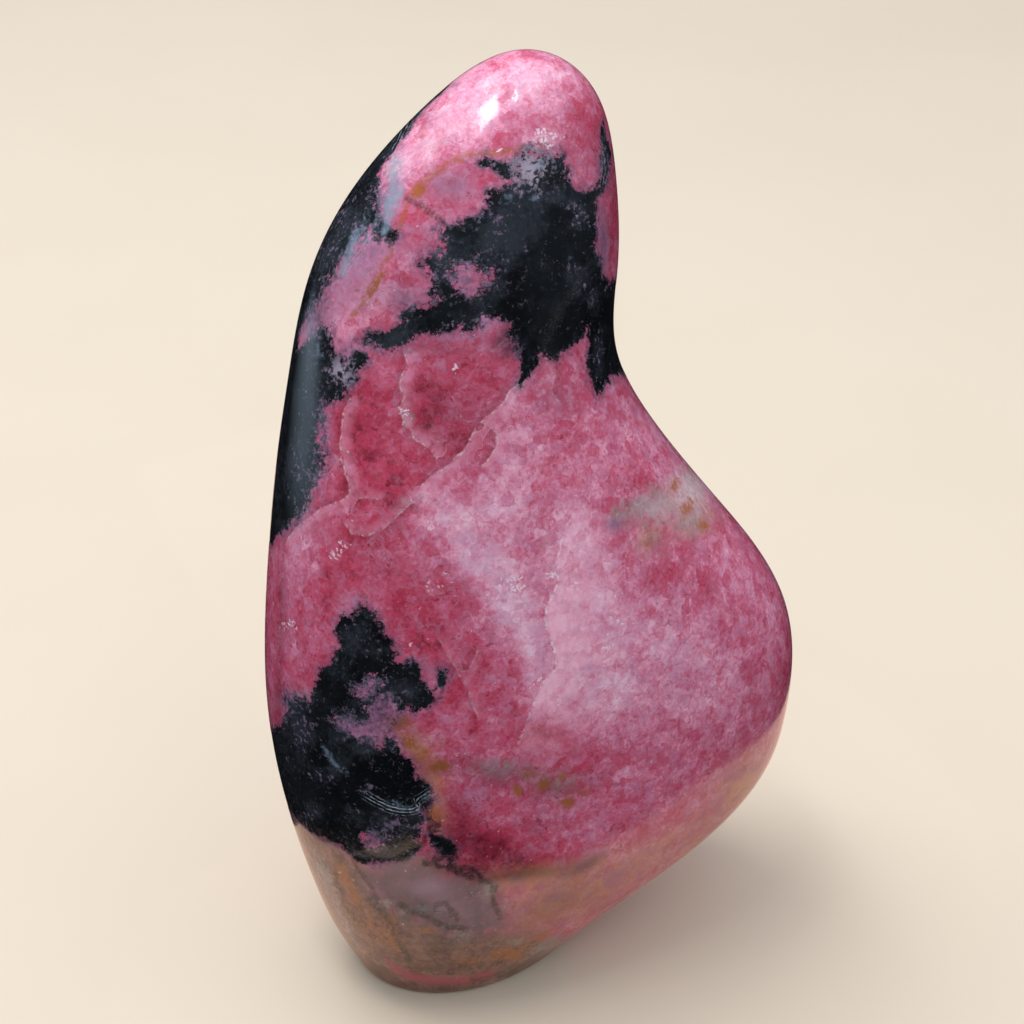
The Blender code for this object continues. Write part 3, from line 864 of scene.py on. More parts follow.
class Look:
    """A material, built one node at a time. Each step gives back the socket that carries its result."""

    def __init__(self, name):
        self.material = bpy.data.materials.new(name)
        self.material.use_nodes = True
        self.tree = self.material.node_tree
        self.tree.nodes.clear()
        self.shader = self.add("ShaderNodeBsdfPrincipled")
        output = self.add("ShaderNodeOutputMaterial")
        self.tree.links.new(self.shader.outputs[0], output.inputs[0])

    def add(self, kind, inputs=None, **settings):
        node = self.tree.nodes.new(kind)
        for name, value in settings.items():
            setattr(node, name, value)
        self.feed(node, inputs or {})
        return node

    def feed(self, node, inputs):
        for name, value in inputs.items():
            if isinstance(value, bpy.types.NodeSocket):
                self.tree.links.new(value, node.inputs[name])
            else:
                node.inputs[name].default_value = value

    def finished(self, inputs):
        """The material, once its shader has these inputs."""
        self.feed(self.shader, inputs)
        return self.material

    def calc(self, operation, a, b=0.0, c=0.0, clamp=False):
        node = self.add("ShaderNodeMath", {0: a, 1: b, 2: c}, operation=operation, use_clamp=clamp)
        return node.outputs[0]

    def total(self, start, *parts):
        """A start with more added to it. Each part is a value and its weight."""
        for value, weight in parts:
            start = self.calc("MULTIPLY_ADD", value, weight, start)
        return start

    def times(self, first, *others):
        for other in others:
            first = self.calc("MULTIPLY", first, other)
        return first

    def span(self, value, low, high, to_low=0.0, to_high=1.0):
        """Value carried from one range to another along a soft step."""
        node = self.add(
            "ShaderNodeMapRange",
            {"Value": value, "From Min": low, "From Max": high, "To Min": to_low, "To Max": to_high},
            interpolation_type="SMOOTHSTEP",
        )
        return node.outputs[0]

    def mix(self, share, a, b):
        return self.add("ShaderNodeMix", {0: share, 6: a, 7: b}, data_type="RGBA").outputs[2]

    def coat(self, under, over, cover, most):
        """One colour over another where cover is 1, as thickly as most says."""
        return self.mix(self.times(cover, most), under, over)

    def vector(self, operation, a, b):
        return self.add("ShaderNodeVectorMath", {0: a, 1: b}, operation=operation).outputs[0]

    def scaled(self, vector, factor):
        return self.add("ShaderNodeVectorMath", {0: vector, 3: factor}, operation="SCALE").outputs[0]

    def noise(self, at, scale, detail, roughness):
        inputs = {"Vector": at, "Scale": scale, "Detail": detail, "Roughness": roughness}
        return self.add("ShaderNodeTexNoise", inputs)

    def cells(self, at, scale):
        """Three random values for each cell."""
        cells = self.add("ShaderNodeTexVoronoi", {"Vector": at, "Scale": scale})
        split = self.add("ShaderNodeSeparateColor", {0: cells.outputs["Color"]})
        return split.outputs[0], split.outputs[1], split.outputs[2]

    def ramp(self, value, stops):
        node = self.add("ShaderNodeValToRGB", {0: value})
        marks = node.color_ramp.elements
        while len(marks) < len(stops):
            marks.new(0.5)
        for mark, (place, colour) in zip(marks, stops):
            mark.position = place
            mark.color = colour
        return node.outputs[0]

    def place(self):
        return self.add("ShaderNodeTexCoord").outputs["Object"]


class Markings:
    """The markings that the stone carries, as sockets of a look."""

    def __init__(self, look):
        for group, names in MARK_GROUPS.items():
            carried = look.add("ShaderNodeAttribute", attribute_name=group).outputs["Vector"]
            parts = look.add("ShaderNodeSeparateXYZ", {0: carried})
            for name, socket in zip(names, parts.outputs):
                setattr(self, name, socket)


# Grains, each with three random values: (start of its pattern, grains to the mm).
GRAINS = {
    "large": ((0, 0, 0), 0.46),
    "small": ((31, 7, 3), 1.1),
    "tiny": ((3, 17, 5), 2.3),
}
GRAIN_DRIFT = 2.6  # mm that the grains are pulled out of shape
# Mottles: (start of its pattern, features to the mm, detail, roughness).
MOTTLES = {
    "cloud": ((5, 11, 2), 0.085, 3.0, 0.55),
    "blotch": ((1, 9, 5), 0.22, 4.0, 0.6),
    "feather": ((3, 6, 9), 0.36, 6.0, 0.66),
    "crumb": ((7, 2, 4), 1.3, 4.0, 0.7),
    "mist": ((2, 4, 8), 1.7, 3.0, 0.62),
}
STREAK_STRETCH = (0.62, 0.62, 0.20)  # features to the mm along X, Y and Z


class Grains:
    """The textures that the parts of the stone's finish share."""

    def __init__(self, look, at, size):
        drift = look.vector("ADD", look.noise(at, 0.5, 4.0, 0.62).outputs["Color"], (-0.5, -0.5, -0.5))
        warped = look.vector("ADD", at, look.scaled(drift, GRAIN_DRIFT))
        for name, (start, per_mm) in GRAINS.items():
            setattr(self, name, look.cells(look.vector("ADD", warped, start), per_mm / size))
        for name, (start, per_mm, detail, roughness) in MOTTLES.items():
            mottle = look.noise(look.vector("ADD", at, start), per_mm, detail, roughness)
            setattr(self, name, mottle.outputs["Fac"])
        streak = look.noise(look.vector("MULTIPLY", at, STREAK_STRETCH), 1.0, 4.0, 0.6)
        self.streak = streak.outputs["Fac"]


def rose_mosaic(look, marks, grains, settings):
    """The rose body: grains of several reds, paler and deeper by zone, the paler zones partly a painted
    sheen.
    """
    tone = look.total(
        -0.385,
        (grains.large[0], 0.18), (grains.small[0], 0.12), (grains.tiny[0], 0.11), (grains.cloud, 0.12),
        (grains.blotch, 0.36), (grains.feather, 0.55), (grains.mist, 0.32),
        (marks.pale, 0.38), (marks.deep, -0.32),
    )  # fmt: skip
    colour = look.ramp(tone, (
        (0.08, settings.garnet),
        (0.30, settings.raspberry),
        (0.54, settings.rose),
        (0.76, settings.pale_rose),
        (1.0, settings.lavender),
    ))
    hue = look.total(grains.large[1], (grains.small[1], 1.0), (marks.deep, -0.45), (marks.pale, 0.35))
    colour = look.mix(look.span(hue, 0.95, 0.20, 0.0, 0.45), colour, settings.crimson)
    colour = look.mix(look.span(hue, 1.05, 1.95, 0.0, 0.36), colour, settings.mauve)
    # A violet veil where the lilac marks lie, down the middle of the front partly a painted haze of
    # reflection.
    veil = look.total(marks.lilac, (grains.blotch, 0.5), (grains.mist, 0.5), (grains.small[1], 0.2))
    violet = look.mix(look.span(marks.lilac, 0.75, 1.0), settings.mauve, settings.lilac)
    colour = look.mix(look.span(veil, 0.75, 1.75, 0.0, 0.8), colour, violet)
    speck = look.times(look.span(grains.tiny[2], 0.90, 0.96), look.span(grains.blotch, 0.42, 0.62))
    speck = look.times(speck, look.total(1.0, (marks.pale, -0.8)))
    return look.coat(colour, settings.garnet, speck, 0.55)


def foot_earth(look, grains, settings):
    """The stained, gritty skin of the foot."""
    earth = look.mix(look.span(grains.streak, 0.38, 0.62), settings.tan, settings.dust)
    dark = look.total(0.0, (grains.streak, 0.4), (grains.blotch, 0.6))
    earth = look.mix(look.span(dark, 0.48, 0.72, 0.0, 0.6), earth, settings.umber)
    grit = look.total(-1.42, (grains.crumb, 1.4), (grains.feather, 3.4))
    return look.scaled(earth, look.calc("MAXIMUM", grit, 0.25))


def stained(look, colour, marks, grains, settings):
    """The foot, its rim, the grey patch above it, and the brownish pink, ochre and grey stains elsewhere; the
    brownish pink along the lower edge and the grey on the lower left rim and the foot are painted reflection.
    """
    shade = look.total(0.45, (grains.small[0], 0.2), (grains.mist, 0.5))
    # Brownish pink: stains, and along the lower edge a painted warm reflection.
    clay_and_reflection = look.mix(look.span(grains.blotch, 0.40, 0.60), settings.clay_and_reflection, settings.tawny)
    colour = look.coat(colour, clay_and_reflection, marks.clay_and_reflection, shade)
    sway = look.total(-3.6, (grains.crumb, 1.2), (grains.blotch, 6.0))
    foot = look.span(look.calc("ADD", marks.foot, sway), -2.6, 2.4)
    colour = look.coat(colour, foot_earth(look, grains, settings), foot, 0.92)
    greyed = look.span(look.calc("ADD", marks.greyed, sway), -2.4, 2.0)
    heather = look.mix(look.span(grains.feather, 0.38, 0.60), settings.slate, settings.heather)
    heather = look.coat(heather, settings.dove, marks.lilac, 0.9)
    colour = look.coat(colour, heather, greyed, 0.82)
    colour = look.mix(look.span(marks.rim, -0.6, 0.6, 0.0, 0.85), colour, settings.raspberry)
    # Grey stains, along the lower left rim and low on the foot a painted reflection.
    ragged = look.total(-0.47, (grains.small[2], 0.25), (grains.crumb, 1.7))
    grey = look.span(look.calc("ADD", ragged, marks.grey), 0.70, 1.45)
    share = look.total(0.0, (grains.small[0], 0.4), (marks.pale, 0.65))
    colour = look.coat(colour, look.mix(share, settings.ash, settings.bone), grey, 0.75)
    ochre = look.span(look.calc("ADD", ragged, marks.ochre), 0.70, 1.30)
    return look.coat(colour, settings.ochre, ochre, 0.88)


def near_line(look, grains, across, sway, half, soft):
    """1 along a wandering line and 0 away from it."""
    off = look.total(-0.7 * sway, (across, 1.0), (grains.feather, sway), (grains.crumb, 0.4 * sway))
    return look.span(look.calc("ABSOLUTE", off), half + soft, half)


def pale_side(look, grains, across, strength, reach):
    """Fades away from a fracture on the one side where the stone is paler."""
    off = look.total(-1.2, (across, 1.0), (grains.crumb, 1.6), (grains.mist, 0.8))
    fade = look.calc("SUBTRACT", 1.15, look.calc("DIVIDE", off, reach), clamp=True)
    return look.times(look.span(off, -0.08, 0.14), look.calc("POWER", fade, 1.5), strength)


def crumbling(look, grains, across, strength, half):
    """A whitish crumbly line of uneven width."""
    away = look.calc("ABSOLUTE", look.total(-0.65, (across, 1.0), (grains.feather, 1.3)))
    tent = look.calc("SUBTRACT", 1.0, look.calc("DIVIDE", away, half), clamp=True)
    crumbs = look.total(0.0, (grains.crumb, 0.95), (tent, 0.7))
    return look.times(look.span(crumbs, 0.98, 1.30), strength)


def fractured(look, colour, marks, grains, settings):
    """The long step with a painted glint along its edge, the smaller fractures and the ochre seam. It gives
    back the bright lips too.
    """
    facet = pale_side(look, grains, marks.crack, marks.crack_strength, 2.8)
    colour = look.coat(colour, settings.pale_rose, facet, 0.6)
    other_side = look.times(marks.crack, -1.0)
    shade = pale_side(look, grains, other_side, marks.crack_strength, 1.8)
    colour = look.coat(colour, settings.garnet, shade, 0.45)
    glow = pale_side(look, grains, marks.step, marks.step_strength, 13.0)
    grainy = look.span(look.calc("ADD", grains.crumb, grains.feather), 0.80, 1.12, 0.62, 1.0)
    colour = look.coat(colour, settings.blush, glow, grainy)
    lip = crumbling(look, grains, marks.crack, marks.crack_strength, 0.85)
    edge = crumbling(look, grains, marks.step, marks.step_strength, 0.8)
    lips = look.calc("MAXIMUM", lip, edge, clamp=True)
    colour = look.coat(colour, settings.chalk, lips, 0.72)
    # A painted glint along the edge of the step.
    colour = look.coat(colour, settings.glint, edge, 0.75)
    seam = near_line(look, grains, marks.seam, 2.2, 0.05, 0.85)
    seam = look.times(seam, marks.seam_strength, look.span(grains.crumb, 0.35, 0.6, 0.25, 1.0))
    return look.coat(colour, settings.ochre, seam, 0.80), lips


def black_edge(look, marks, grains):
    """How deep in the black a place lies, in mm, made ragged by the grains and broken up among the flecks."""
    edge = look.total(
        -3.05,
        (marks.black, 1.0), (grains.feather, 4.2), (grains.small[2], 0.55), (grains.tiny[2], 0.45),
        (grains.crumb, 0.9),
    )  # fmt: skip
    edge = look.times(edge, look.total(1.0, (marks.flecked, -0.5)))
    broken = look.total(-4.5, (grains.crumb, 6.0), (grains.feather, 3.0))
    return look.total(edge, (broken, marks.flecked))


def flecked_ink(look, edge, marks, grains, settings):
    """The black itself, hazy in places, with lilac and grey flecks and a little dust."""
    ink = look.mix(look.span(grains.cloud, 0.40, 0.60), settings.black, settings.green_black)
    haze = look.total(
        -0.3, (grains.blotch, 1.0), (marks.flecked, 0.30), (marks.grey, 0.30), (grains.crumb, 0.6)
    )
    ink = look.mix(look.span(haze, 0.48, 0.90), ink, settings.smoke)
    fleck = look.total(
        -0.42,
        (grains.tiny[1], 0.22), (grains.crumb, 1.1), (grains.small[1], 0.2), (grains.feather, 0.6),
        (marks.flecked, 0.27), (marks.pale, 0.10), (look.span(edge, 2.2, 0.1), 0.14),
    )  # fmt: skip
    tint = look.mix(look.span(grains.mist, 0.40, 0.64), settings.slate, settings.fleck)
    # Pearl flecks where the paler marks lie, partly a painted sheen.
    tint = look.coat(tint, settings.pearl, marks.pale, 0.9)
    ink = look.coat(ink, tint, look.span(fleck, 0.88, 1.06), 0.85)
    dust = look.times(look.span(grains.tiny[0], 0.90, 0.96), look.span(grains.mist, 0.46, 0.60))
    return look.coat(ink, settings.slate, dust, 0.45)


def manganese(look, colour, marks, grains, settings):
    """The black with its lilac fringe and the gloom beside it. It gives back its cover too."""
    edge = black_edge(look, marks, grains)
    reach = look.span(look.total(edge, (marks.lilac, 1.5)), -1.6, 0.6)
    fringe = look.times(reach, look.span(grains.mist, 0.35, 0.6, 0.4, 1.0))
    colour = look.coat(colour, settings.lilac, fringe, 0.55)
    gloom = look.calc("MAXIMUM", look.span(edge, -1.5, 0.2), marks.flecked)
    gloom = look.times(gloom, look.span(grains.crumb, 0.35, 0.62, 0.15, 0.95))
    colour = look.coat(colour, settings.gloom, gloom, 0.75)
    cover = look.span(edge, -0.30, 0.30)
    return look.mix(cover, colour, flecked_ink(look, edge, marks, grains, settings)), cover


def veined(look, colour, marks, grains, settings):
    """Thin dark veins, bluish films that are partly a painted reflection, and scratches."""
    vein = near_line(look, grains, marks.vein, 2.0, 0.14, 0.62)
    vein = look.times(vein, marks.vein_strength, look.span(grains.mist, 0.34, 0.56, 0.4, 1.0))
    colour = look.coat(colour, settings.green_black, vein, 0.9)
    # Bluish films, on the upper left flank a painted reflection of a bluish window.
    film = look.total(marks.blue, (grains.small[2], 0.2), (grains.crumb, 0.9))
    colour = look.coat(colour, settings.blue, look.span(film, 0.80, 1.45), 0.8)
    stroke = look.total(0.0, (grains.feather, 9.0), (marks.scratch, 13.0))
    scratch = look.times(
        look.span(look.calc("SINE", stroke), 0.25, 0.95),
        near_line(look, grains, marks.scratch, 0.8, 0.45, 0.5),
        marks.scratch_strength,
        look.span(grains.mist, 0.38, 0.6, 0.15, 1.0),
    )
    return look.coat(colour, settings.frost, scratch, 0.9)


def glinting(look, colour, marks, cover, grains, settings):
    """Small bright cleavage faces with painted glints, most of them in the rose."""
    pick = look.total(0.0, (grains.tiny[1], 0.62), (marks.spark, 0.40), (grains.crumb, 0.62))
    glint = look.times(look.span(pick, 0.96, 1.09), look.span(cover, 1.0, 0.0, 0.12, 1.0))
    return look.coat(colour, settings.glint, glint, 0.75)


def rhodonite(settings):
    """The stone's finish: a rose mosaic with black patches, lilac fringes, stains, fractures and glints, with
    painted shade, sheen and reflections laid on it.
    """
    look = Look("polished_rhodonite")
    at = look.scaled(look.place(), 1.0 / MM)
    marks = Markings(look)
    grains = Grains(look, at, settings.grain)
    colour = rose_mosaic(look, marks, grains, settings)
    colour = stained(look, colour, marks, grains, settings)
    colour, lips = fractured(look, colour, marks, grains, settings)
    colour, cover = manganese(look, colour, marks, grains, settings)
    colour = veined(look, colour, marks, grains, settings)
    # Painted shade: the colour darkened where the painted shade marks lie.
    colour = look.scaled(colour, look.total(1.0, (marks.dusk, -0.60)))
    colour = glinting(look, colour, marks, cover, grains, settings)

    # The grains differ a little in gloss and level, and the black takes a higher polish.
    rough = look.span(grains.mist, 0.3, 0.75, settings.polish - 0.03, settings.polish + 0.10)
    rough = look.total(rough, (lips, 0.25), (cover, -0.03))
    height = look.total(grains.mist, (marks.crack_strength, 0.2))
    bump = look.add("ShaderNodeBump", {"Strength": 0.5, "Distance": 0.02 * MM, "Height": height})
    return look.finished(
        {"Base Color": colour, "Roughness": rough, "Normal": bump.outputs[0], "IOR": 1.73}
    )


NO_COLOUR = (0.0, 0.0, 0.0, 1.0)
NEAR_BLACK = (0.004, 0.004, 0.005, 1.0)
SKY_BLUE = (0.62, 0.80, 1.0, 1.0)


def pale_floor(settings):
    look = Look("pale_floor")
    grain = look.noise(look.place(), 14.0, 4.0, 0.5).outputs["Fac"]
    colour = look.mix(look.span(grain, 0.3, 0.7, 0.0, 0.25), settings.floor, settings.floor_shade)
    return look.finished({"Base Color": colour, "Roughness": 0.65, "Specular IOR Level": 0.25})


def dark_card():
    """Dark from above and clear from below, so that the floor under it stays evenly lit."""
    look = Look("dark_card")
    under = look.add("ShaderNodeNewGeometry").outputs["Backfacing"]
    clear = look.calc("SUBTRACT", 1.0, under)
    return look.finished(
        {"Base Color": NEAR_BLACK, "Roughness": 1.0, "Specular IOR Level": 0.0, "Alpha": clear}
    )


def warm_card(settings):
    look = Look("warm_card")
    return look.finished({"Base Color": settings.card, "Roughness": 1.0, "Specular IOR Level": 0.0})


def soft_glow(settings):
    """Light that fades to nothing at the edges of its sheet."""
    look = Look("soft_glow")
    reach = look.add("ShaderNodeVectorMath", {0: look.place()}, operation="LENGTH").outputs["Value"]
    strength = look.span(reach, 1.0, 0.0, 0.0, settings.side)
    return look.finished({
        "Base Color": NO_COLOUR, "Specular IOR Level": 0.0, "Emission Color": SKY_BLUE,
        "Emission Strength": strength,
    })  # fmt: skip


# ---- Stage ----

FLOOR_HALF = 3.0
# A card that the camera doesn't see keeps the mirrored and bounced surroundings of the stone dark past a
# short strip, whose corners these are, anticlockwise from above. The stone mirrors a warm card there.
PALE_STRIP = (
    (-0.072, -0.059), (0.045, -0.059), (0.054, -0.053), (0.066, -0.045), (0.076, -0.034),
    (0.082, -0.023), (0.086, -0.009), (0.090, 0.012), (0.094, 0.188), (0.010, 0.188), (-0.020, 0.044),
    (-0.053, 0.038), (-0.062, 0.030), (-0.069, 0.021), (-0.0735, 0.013), (-0.0785, 0.0),
    (-0.077, -0.045),
)  # fmt: skip
STRIP_MIDDLE = (0.02, 0.02)
STRIP_TURN = math.radians(8.5)
CARD_REACH = 3.0
CARD_LIFT = 0.0002

PALE_AIR = (0.93, 0.95, 1.0, 1.0)
BLUE_AIR = (0.55, 0.72, 0.9, 1.0)
LIGHT_WHITE = (1.0, 0.98, 0.98)
HEAD_MIDDLE = Vector((0.0, 0.0, 0.13))

# Level windows overhead: (name, place, width and depth, turn in degrees, setting, share of its power).
WINDOWS = (
    ("key_window", (-0.204, -0.085, 0.90), (0.125, 0.28), 0.0, "key", 1.0),
    ("far_window", (-0.165, 0.29, 0.90), (0.14, 0.40), 0.0, "window", 1.0),
    ("right_window", (0.235, 0.03, 0.90), (0.15, 0.58), 21.0, "window", 1.0),
    ("left_window", (-0.43, 0.35, 0.90), (0.16, 0.60), 0.0, "window", 0.3),
)
# Broad lights, aimed at the head, that the polish doesn't show: (name, place, size, setting).
SOFTBOXES = (
    ("back_softbox", (-0.25, 0.45, 1.20), 0.8, "back"),
    ("front_softbox", (-0.20, -0.96, 0.88), 0.9, "fill"),
)
# A soft bluish window, low at the left and behind, which only the polish shows.
SIDE_WINDOW_PLACE = (-0.425, 0.33, 0.065)
SIDE_WINDOW_HALVES = (0.32, 0.30, 1.0)
SIDE_WINDOW_TURN = (0.0, math.radians(13.0), math.radians(-38.0))


def link(item):
    bpy.context.scene.collection.objects.link(item)
    return item


def hide_from(item, *rays):
    for ray in rays:
        setattr(item, "visible_" + ray, False)


def sheet(name, corners, faces, material):
    mesh = bpy.data.meshes.new(name)
    mesh.from_pydata(corners, [], faces)
    mesh.materials.append(material)
    return link(bpy.data.objects.new(name, mesh))


def square_sheet(name, half, material):
    corners = [(-half, -half, 0), (half, -half, 0), (half, half, 0), (-half, half, 0)]
    return sheet(name, corners, [(0, 1, 2, 3)], material)


def lay_floor(settings):
    floor = square_sheet("studio_floor", FLOOR_HALF, pale_floor(settings))


def lay_cards(settings):
    x, y = STRIP_MIDDLE
    turns = [math.atan2(b - y, a - x) for a, b in PALE_STRIP]
    rim = [(x + CARD_REACH * math.cos(turn), y + CARD_REACH * math.sin(turn)) for turn in turns]
    corners = [(a, b, CARD_LIFT) for a, b in [*PALE_STRIP, *rim]]
    count = len(PALE_STRIP)
    after = [(i + 1) % count for i in range(count)]
    faces = [(count + i, count + j, j, i) for i, j in enumerate(after)]
    card = sheet("mirror_card", corners, faces, dark_card())
    warm = sheet("warm_card", corners[:count], [range(count)], warm_card(settings))
    hide_from(warm, "diffuse")
    for item in (card, warm):
        item.rotation_euler.z = STRIP_TURN
        hide_from(item, "camera", "shadow", "transmission")


def hang_side_window(settings):
    window = square_sheet("side_window", 1.0, soft_glow(settings))
    window.location = SIDE_WINDOW_PLACE
    window.scale = SIDE_WINDOW_HALVES
    window.rotation_euler = SIDE_WINDOW_TURN
    hide_from(window, "camera", "diffuse", "shadow", "transmission")


def add_light(name, place, size, power):
    light = bpy.data.lights.new(name, "AREA")
    light.shape = "RECTANGLE"
    light.size, light.size_y = size
    light.energy = power
    light.color = LIGHT_WHITE
    item = link(bpy.data.objects.new(name, light))
    item.location = place
    hide_from(item, "camera")
    return item


def light_studio(settings):
    for name, place, size, turn, setting, share in WINDOWS:
        window = add_light(name, place, size, share * getattr(settings, setting))
        window.rotation_euler.z = math.radians(turn)
    for name, place, size, setting in SOFTBOXES:
        box = add_light(name, place, (size, size), getattr(settings, setting))
        box.rotation_euler = (HEAD_MIDDLE - Vector(place)).to_track_quat("-Z", "Y").to_euler()
        hide_from(box, "glossy")


def light_world(settings):
    """Even air all round, which the polish mirrors much dimmer."""
    world = bpy.data.worlds.new("studio_air")
    world.use_nodes = True
    tree = world.node_tree
    tree.nodes.clear()
    mixed = tree.nodes.new("ShaderNodeMixShader")
    path = tree.nodes.new("ShaderNodeLightPath")
    tree.links.new(path.outputs["Is Glossy Ray"], mixed.inputs[0])
    airs = ((PALE_AIR, settings.air), (BLUE_AIR, settings.mirrored_air))
    for place, (colour, strength) in enumerate(airs, 1):
        air = tree.nodes.new("ShaderNodeBackground")
        air.inputs[0].default_value = colour
        air.inputs[1].default_value = strength
        tree.links.new(air.outputs[0], mixed.inputs[place])
    output = tree.nodes.new("ShaderNodeOutputWorld")
    tree.links.new(mixed.outputs[0], output.inputs[0])
    bpy.context.scene.world = world


def set_camera():
    camera = bpy.data.cameras.new("camera")
    camera.lens = LENS
    camera.sensor_width = SENSOR
    camera.clip_start, camera.clip_end = 0.01, 20
    item = link(bpy.data.objects.new("camera", camera))
    item.location = CAMERA_PLACE
    item.rotation_euler = CAMERA_TURN
    bpy.context.scene.camera = item
    bpy.context.scene.view_settings.view_transform = "Standard"


# ---- Settings, operators and panel ----


def colour_property(name, description, red, green, blue):
    return FloatVectorProperty(
        name=name, description=description, subtype="COLOR", size=4, min=0, max=1,
        default=(red, green, blue, 1),
    )  # fmt: skip


def power_property(name, description, default):
    return FloatProperty(name=name, description=description, default=default, min=0, max=100, unit="POWER")


def strength_property(name, description, default):
    return FloatProperty(name=name, description=description, default=default, min=0, max=20)


class StoneSettings(PropertyGroup):
    height: FloatProperty(
        name="Height", description="From the ground flat to the tip", unit="LENGTH",
        default=CAD_BOX[1].z, min=0.10, max=0.20,
    )
    grain: FloatProperty(
        name="Grain", description="Size of the rose grains against their usual size",
        default=1.0, min=0.5, max=2.0, subtype="FACTOR",
    )
    polish: FloatProperty(
        name="Roughness", description="0 is a mirror polish", default=0.10, min=0.03, max=0.6,
        subtype="FACTOR",
    )
    garnet: colour_property("Garnet", "Darkest red grains", 0.20, 0.018, 0.038)
    raspberry: colour_property("Raspberry", "Deep rose grains", 0.44, 0.055, 0.105)
    crimson: colour_property("Crimson", "Warmer red grains", 0.56, 0.048, 0.11)
    rose: colour_property("Rose", "Most of the stone", 0.57, 0.135, 0.235)
    pale_rose: colour_property("Pale rose", "Light grains", 0.75, 0.31, 0.45)
    lavender: colour_property("Lavender", "Palest grains", 0.86, 0.56, 0.7)
    mauve: colour_property("Mauve", "Cooler zones and veils", 0.5, 0.25, 0.4)
    blush: colour_property("Blush", "Flush above the step", 1.0, 0.55, 0.71)
    lilac: colour_property("Lilac", "Fringes of the black", 0.34, 0.19, 0.34)
    black: colour_property("Black", "Manganese patches", 0.004, 0.0045, 0.006)
    green_black: colour_property("Green black", "Greener parts of the patches", 0.008, 0.01, 0.012)
    smoke: colour_property("Smoke", "Hazy parts of the patches", 0.028, 0.034, 0.044)
    slate: colour_property("Slate", "Grey flecks in the black", 0.075, 0.08, 0.1)
    ochre: colour_property("Ochre", "Iron stains", 0.38, 0.125, 0.034)
    tan: colour_property("Tan", "Stained foot", 0.165, 0.096, 0.057)
    umber: colour_property("Umber", "Darkest of the foot", 0.062, 0.042, 0.03)
    # Brownish pink, along the lower edge a painted warm reflection.
    clay_and_reflection: colour_property("Clay", "Brownish pink of the lower edge", 0.37, 0.155, 0.17)
    # Ash and bone colour the grey stains, which on the lower left rim and the foot are a painted reflection.
    ash: colour_property("Ash", "Grey stains", 0.26, 0.2, 0.18)
    bone: colour_property("Bone", "Palest stains", 0.58, 0.5, 0.5)
    heather: colour_property("Heather", "Grey-lilac patch above the foot", 0.145, 0.095, 0.12)
    chalk: colour_property("Chalk", "Bright lips of the fractures", 0.80, 0.60, 0.62)
    # Colour of the painted glints on the cleavage faces and the step's edge.
    glint: colour_property("Glint", "Small cleavage faces", 0.86, 0.78, 0.9)
    fleck: colour_property("Fleck", "Lilac flecks in the black", 0.24, 0.14, 0.26)
    gloom: colour_property("Gloom", "Dark purple beside the black", 0.085, 0.035, 0.06)
    # Colour of the bluish films and of the painted reflection of a bluish window.
    blue: colour_property("Blue", "Bluish films", 0.22, 0.31, 0.4)
    # The warmer part of the brownish pink, along the lower edge a painted warm reflection.
    tawny: colour_property("Tawny", "Warmer parts of the clay", 0.52, 0.23, 0.12)
    dust: colour_property("Dust", "Pinker parts of the foot", 0.22, 0.118, 0.09)
    dove: colour_property("Dove", "Lilac cells above the foot", 0.4, 0.27, 0.36)
    pearl: colour_property("Pearl", "Palest flecks in the black", 0.5, 0.43, 0.54)
    frost: colour_property("Frost", "Bluish scratches", 0.42, 0.5, 0.6)


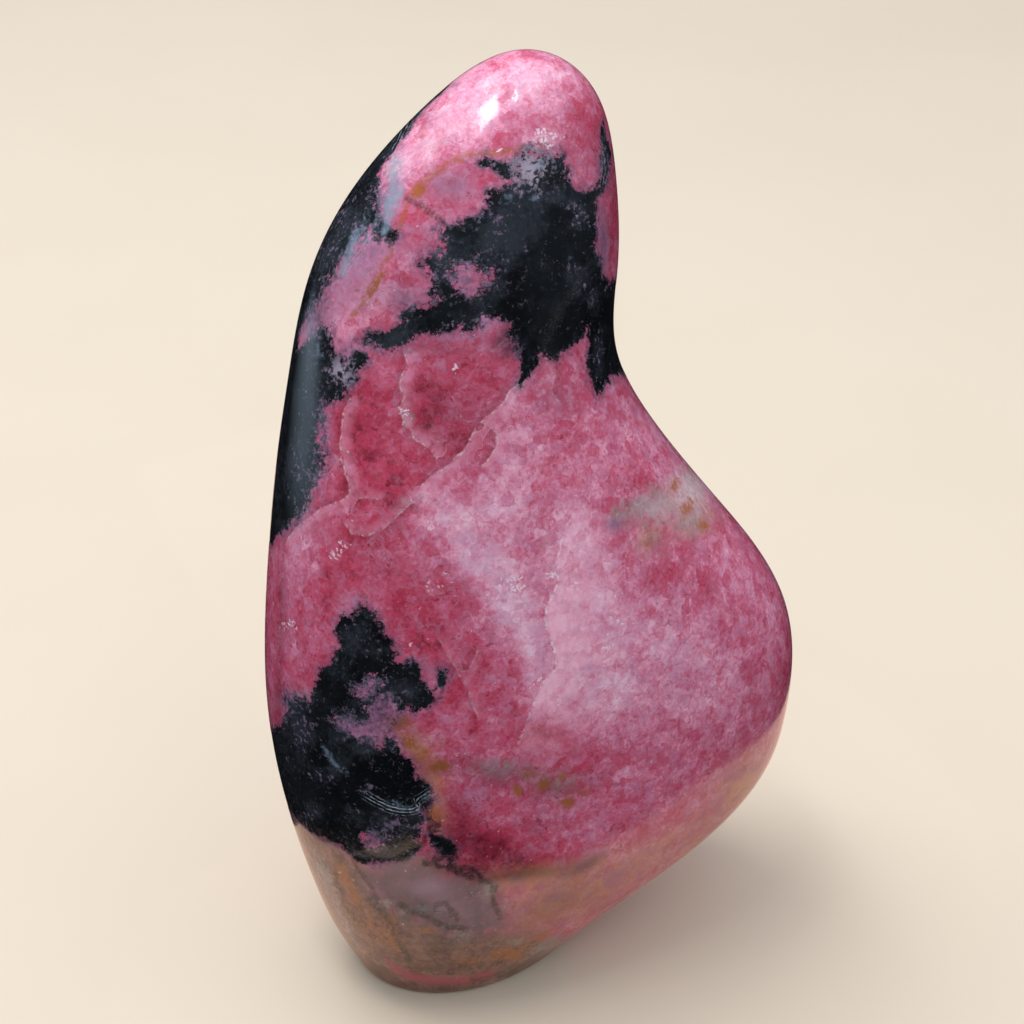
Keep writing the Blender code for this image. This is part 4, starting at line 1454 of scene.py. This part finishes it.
class StageSettings(PropertyGroup):
    floor: colour_property("Floor", "Pale floor", 0.60, 0.53, 0.43)
    floor_shade: colour_property("Floor shade", "Slightly darker parts of the floor", 0.56, 0.49, 0.39)
    card: colour_property("Card", "Card that the stone mirrors near its foot", 0.62, 0.44, 0.32)
    key: power_property("Key window", "Small high light", 1.1)
    window: power_property("Upper windows", "Dim high lights that the head mirrors", 0.45)
    back: power_property("Back softbox", "Broad light from above and behind", 8.6)
    fill: power_property("Front softbox", "Broad light at the front", 2.0)
    side: strength_property("Side window", "Strength of the bluish glow at the left", 1.2)
    air: strength_property("Air", "Even light from all round", 0.95)
    mirrored_air: strength_property("Mirrored air", "What the polish mirrors of it", 0.03)


class RHODONITE_OT_stone(Operator):
    """Builds the polished stone with all its markings"""

    bl_idname = "rhodonite.stone"
    bl_label = "Build the stone"

    def execute(self, context):
        settings = context.scene.rhodonite_stone
        scale = settings.height / (HEIGHT * MM)
        mesh = stone_mesh("rhodonite_stone", scale)
        mesh.materials.append(rhodonite(settings))
        stone = link(bpy.data.objects.new("rhodonite_stone", mesh))
        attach(stone, "root")
        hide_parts(NODE)
        return {"FINISHED"}


class RHODONITE_OT_stage(Operator):
    """Lays the floor, hangs the lights and sets the camera"""

    bl_idname = "rhodonite.stage"
    bl_label = "Build the stage"

    def execute(self, context):
        settings = context.scene.rhodonite_stage
        lay_floor(settings)
        lay_cards(settings)
        hang_side_window(settings)
        light_studio(settings)
        light_world(settings)
        set_camera()
        return {"FINISHED"}


class RHODONITE_PT_sidebar(Panel):
    bl_label = "Rhodonite freeform"
    bl_space_type = "VIEW_3D"
    bl_region_type = "UI"
    bl_category = "Rhodonite"

    def draw(self, context):
        for operator, settings in (
            (RHODONITE_OT_stone, context.scene.rhodonite_stone),
            (RHODONITE_OT_stage, context.scene.rhodonite_stage),
        ):
            box = self.layout.box()
            for name in settings.bl_rna.properties.keys():
                if name not in ("rna_type", "name"):
                    box.prop(settings, name)
            box.operator(operator.bl_idname)


CLASSES = (StoneSettings, StageSettings, RHODONITE_OT_stone, RHODONITE_OT_stage, RHODONITE_PT_sidebar)


def register():
    for cls in CLASSES:
        bpy.utils.register_class(cls)
    bpy.types.Scene.rhodonite_stone = PointerProperty(type=StoneSettings)
    bpy.types.Scene.rhodonite_stage = PointerProperty(type=StageSettings)


def unregister():
    del bpy.types.Scene.rhodonite_stage
    del bpy.types.Scene.rhodonite_stone
    for cls in reversed(CLASSES):
        bpy.utils.unregister_class(cls)


def main():
    register()
    bpy.ops.rhodonite.stone()
    bpy.ops.rhodonite.stage()


if __name__ == "__main__":
    main()
